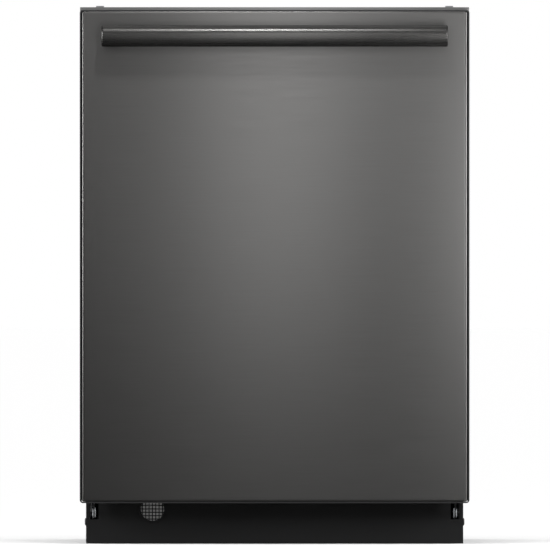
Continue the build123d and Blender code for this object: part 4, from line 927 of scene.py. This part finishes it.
def door_liner():
    """The inner door: a rim, a raised field with a rolled edge, the dispenser's hole and two ribs."""
    lo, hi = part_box("door_liner")
    disp_lo, disp_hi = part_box("dispenser_body")
    seal_lo, seal_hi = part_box("door_bottom_seal")
    face = hi.y                                 # the raised field
    plane = (seal_lo.y + seal_hi.y) / 2         # the rim round it
    field_x = seal_hi.x + 0.006
    z0, z1 = seal_hi.z, hi.z - 0.027
    lip = 0.004                                 # how far the dispenser's flange covers the sheet
    roll = 0.0060                               # width of the field's rolled edge
    cut = (disp_lo.x + lip, disp_hi.x - lip, disp_lo.z + lip, disp_hi.z - lip)
    latch = (-0.018, 0.018, hi.z - 0.012, hi.z - 0.002)
    b = Build()
    x_cuts = sorted({lo.x, -field_x, latch[0], latch[1], cut[0], cut[1], field_x, hi.x})
    z_cuts = sorted({lo.z, z0, cut[2], cut[3], z1, latch[2], latch[3], hi.z})
    holed_sheet(b, x_cuts, z_cuts, plane - SHEET, plane, [(-field_x, field_x, z0, z1), latch])
    x_cuts = sorted({-field_x + roll, cut[0], cut[1], field_x - roll})
    z_cuts = sorted({z0 + roll, cut[2], cut[3], z1 - roll})
    holed_sheet(b, x_cuts, z_cuts, face - SHEET, face, [cut])
    outside, inside = [], []
    for a in quarter(6):
        inset = roll * (1 - math.cos(a))
        rise = (face - plane) * math.sin(a)
        outside.append(wall_ring(-field_x + inset, field_x - inset, z0 + inset, z1 - inset,
                                 0.013, plane + rise, 8))
        inset += SHEET
        inside.append(wall_ring(-field_x + inset, field_x - inset, z0 + inset, z1 - inset,
                                0.0125, plane - SHEET + rise, 8))
    b.rings(outside + inside[::-1], closed=True)
    for z in (z0 + 0.10, z0 + 0.16):
        b.rounded((-field_x + 0.05, face - 0.0012, z - 0.006), (field_x - 0.05, face, z + 0.006), 0.0011, 3)
    b.done("door_liner_pressing", STEEL, "door", "door_liner")


# ------------------------------------------------------------------ dispenser
def dispenser_lid():
    """A sliding lid with five finger ribs near its top, the second one the tallest."""
    lo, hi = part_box("dispenser_lid")
    b = Build()
    b.rounded((lo.x, lo.y, lo.z), (hi.x, lo.y + 0.0022, hi.z), 0.0009, 2)
    for k in range(5):
        z = hi.z - 0.0085 - k * 0.0026
        crown = hi.y if k == 1 else hi.y - 0.0006
        b.rounded((lo.x + 0.024, lo.y + 0.0018, z), (hi.x - 0.024, crown, z + 0.0012), 0.0005, 2)
    b.done("dispenser_lid_skin", GREY, "dispenser_lid", "dispenser_lid")


def rinse_cap():
    """A knurled cap on a stem, with a bar across it to turn it by."""
    lo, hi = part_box("rinse_cap")
    cx, _, cz = centre(lo, hi)
    cap_r = (hi.x - lo.x) / 2
    base = hi.y - 0.0040
    b = Build()
    rings = []
    for drawn_in, rise in ((0.0, 0.0003), (0.0, 0.0018), (0.0007, 0.0025), (0.006, 0.0026)):
        y = base + rise
        ring = []
        for k, a in enumerate(turn(96)):
            notch = 0.0005 if k % 4 in (0, 1) else 0.0
            r = cap_r - drawn_in - notch
            ring.append(Vector((cx + r * math.cos(a), y, cz + r * math.sin(a))))
        rings.append(ring)
    b.rings(rings)
    stem = 0.0088
    b.lathe([(0, lo.y), (stem, lo.y), (stem, base + 0.001), (0, base + 0.001)], (cx, 0, cz), "Y", 32)
    b.rounded((cx - 0.0128, base + 0.0018, cz - 0.0024), (cx + 0.0128, hi.y, cz + 0.0024), 0.0012, 3)
    b.done("rinse_cap_skin", DARK, "rinse_cap", "rinse_cap")


door_panel()
handle_bar()
toe_vent()
handle_posts()
lower_rack()
wheels("lower_wheels_front", "wheels_front")
wheels("lower_wheels_rear", "wheels_rear")
fold_tines()
upper_rack()
cup_shelf()
silverware_basket()
spray_arm("lower_spray_arm", 7)
spray_arm("mid_spray_arm", 7)
spray_arm("top_spray_arm", 4)
balance_springs()
screws()
for name in ("leg_front_left", "leg_front_right", "leg_rear_left", "leg_rear_right"):
    leg(name)
tub_wrapper()
tub_back()
tub_gasket()
circulation_pump()
drain_pump()
door_liner()
dispenser_lid()
rinse_cap()

# ------------------------------------------------------------------ stage
mesh = bpy.data.meshes.new("studio_floor")
mesh.from_pydata([(-60, -60, 0), (60, -60, 0), (60, 120, 0), (-60, 120, 0)], [], [(0, 1, 2, 3)])
floor_obj = bpy.data.objects.new("studio_floor", mesh)
bpy.context.scene.collection.objects.link(floor_obj)
FLOOR = surface("floor_pale", (1.0, 1.0, 1.0), rough=0.9, vary=0.01, scale=30, bump_strength=0.0,
                rough_vary=0.02)
FLOOR.node_tree.nodes["Principled BSDF"].inputs["Specular IOR Level"].default_value = 0.0
mesh.materials.append(FLOOR)
floor_obj.visible_glossy = False

# The room is white to the eye. In reflections it is nearly black in front, so that only the lights
# show in the door, and half bright behind, so that the steel inside and at the back is not black.
world = bpy.data.worlds.new("studio")
bpy.context.scene.world = world
world.use_nodes = True
wt = world.node_tree
wt.nodes.clear()
out = wt.nodes.new("ShaderNodeOutputWorld")
seen = node(wt, "ShaderNodeBackground", Color=(1, 1, 1, 1), Strength=1.0)
mirrored = node(wt, "ShaderNodeBackground", Color=(1, 1, 1, 1))
direction = wt.nodes.new("ShaderNodeTexCoord")
split = wt.nodes.new("ShaderNodeSeparateXYZ")
wt.links.new(direction.outputs["Generated"], split.inputs[0])
wt.links.new(spread(wt, split.outputs["Y"], 0.02, 0.5, 0.15, 0.8), mirrored.inputs["Strength"])
rays = wt.nodes.new("ShaderNodeLightPath")
switch = wt.nodes.new("ShaderNodeMixShader")
wt.links.new(rays.outputs["Is Glossy Ray"], switch.inputs[0])
wt.links.new(seen.outputs[0], switch.inputs[1])
wt.links.new(mirrored.outputs[0], switch.inputs[2])
wt.links.new(switch.outputs[0], out.inputs[0])


def softbox(name, place, target, size, power):
    """A rectangular light at place that faces target and that the camera doesn't see."""
    data = bpy.data.lights.new(name, "AREA")
    data.shape = "RECTANGLE"
    data.size, data.size_y = size
    data.energy = power
    obj = bpy.data.objects.new(name, data)
    obj.location = place
    obj.rotation_euler = (Vector(target) - Vector(place)).to_track_quat("-Z", "Y").to_euler()
    obj.visible_camera = False
    bpy.context.scene.collection.objects.link(obj)


# Strips in front of the door, which its brushed face mirrors as broad soft columns: x, z, watts.
STRIP_Y = -1.3
STRIP_SIZE = (0.22, 0.4)
for x, z, power in ((-0.45, 0.95, 0.3), (-0.2, 0.55, 0.1), (0.0, 0.55, 0.46), (0.0, 0.95, 0.52),
                    (0.2, 0.95, 0.11), (0.45, 0.55, 1.3), (0.45, 0.95, 0.14)):
    softbox(f"strip_{int(x * 100)}_{int(z * 100)}", (x, STRIP_Y, z), (x, 0, z), STRIP_SIZE, power)
# From above: the frame's and the door's top edges, and the line along the top of the handle.
softbox("fill_top", (0.0, -1.0, 2.2), (0, -0.27, 0.7), (1.0, 0.6), 0.45)
softbox("top_spot", (-0.03, -1.25, 1.95), (-0.03, -0.27, 0.8), (0.12, 0.2), 4.6)
softbox("top_back", (0.0, -0.1, 2.3), (0, -0.3, 0.8), (0.9, 0.5), 1.0)
softbox("brow_wide", (0.0, -1.3, 1.5), (0, -0.3, 0.8), (1.3, 0.12), 0.35)
# From far out at the sides: the bright lines along the door's bent edges.
softbox("edge_left", (-1.69, -1.07, 0.7), (-0.3, -0.27, 0.6), (0.25, 0.8), 12.0)
softbox("edge_right", (1.69, -1.07, 0.65), (0.3, -0.27, 0.5), (0.25, 0.9), 12.0)

# ------------------------------------------------------------------ camera
FIELD = 0.8540              # width of the picture at the front of the part
DISTANCE = 30.0             # far away, because the photograph has almost no perspective
SENSOR = 36.0
camera_data = bpy.data.cameras.new("camera")
camera_data.lens = SENSOR * DISTANCE / FIELD
camera_data.sensor_width = SENSOR
camera_data.clip_end = 200
camera = bpy.data.objects.new("camera", camera_data)
camera.location = (0.0006, cad_box[0][1] - DISTANCE, 0.4188)
camera.rotation_euler = (math.radians(90), 0, 0)
bpy.context.scene.collection.objects.link(camera)
bpy.context.scene.camera = camera
bpy.context.scene.view_settings.view_transform = "Standard"
bpy.context.scene.view_settings.look = "None"
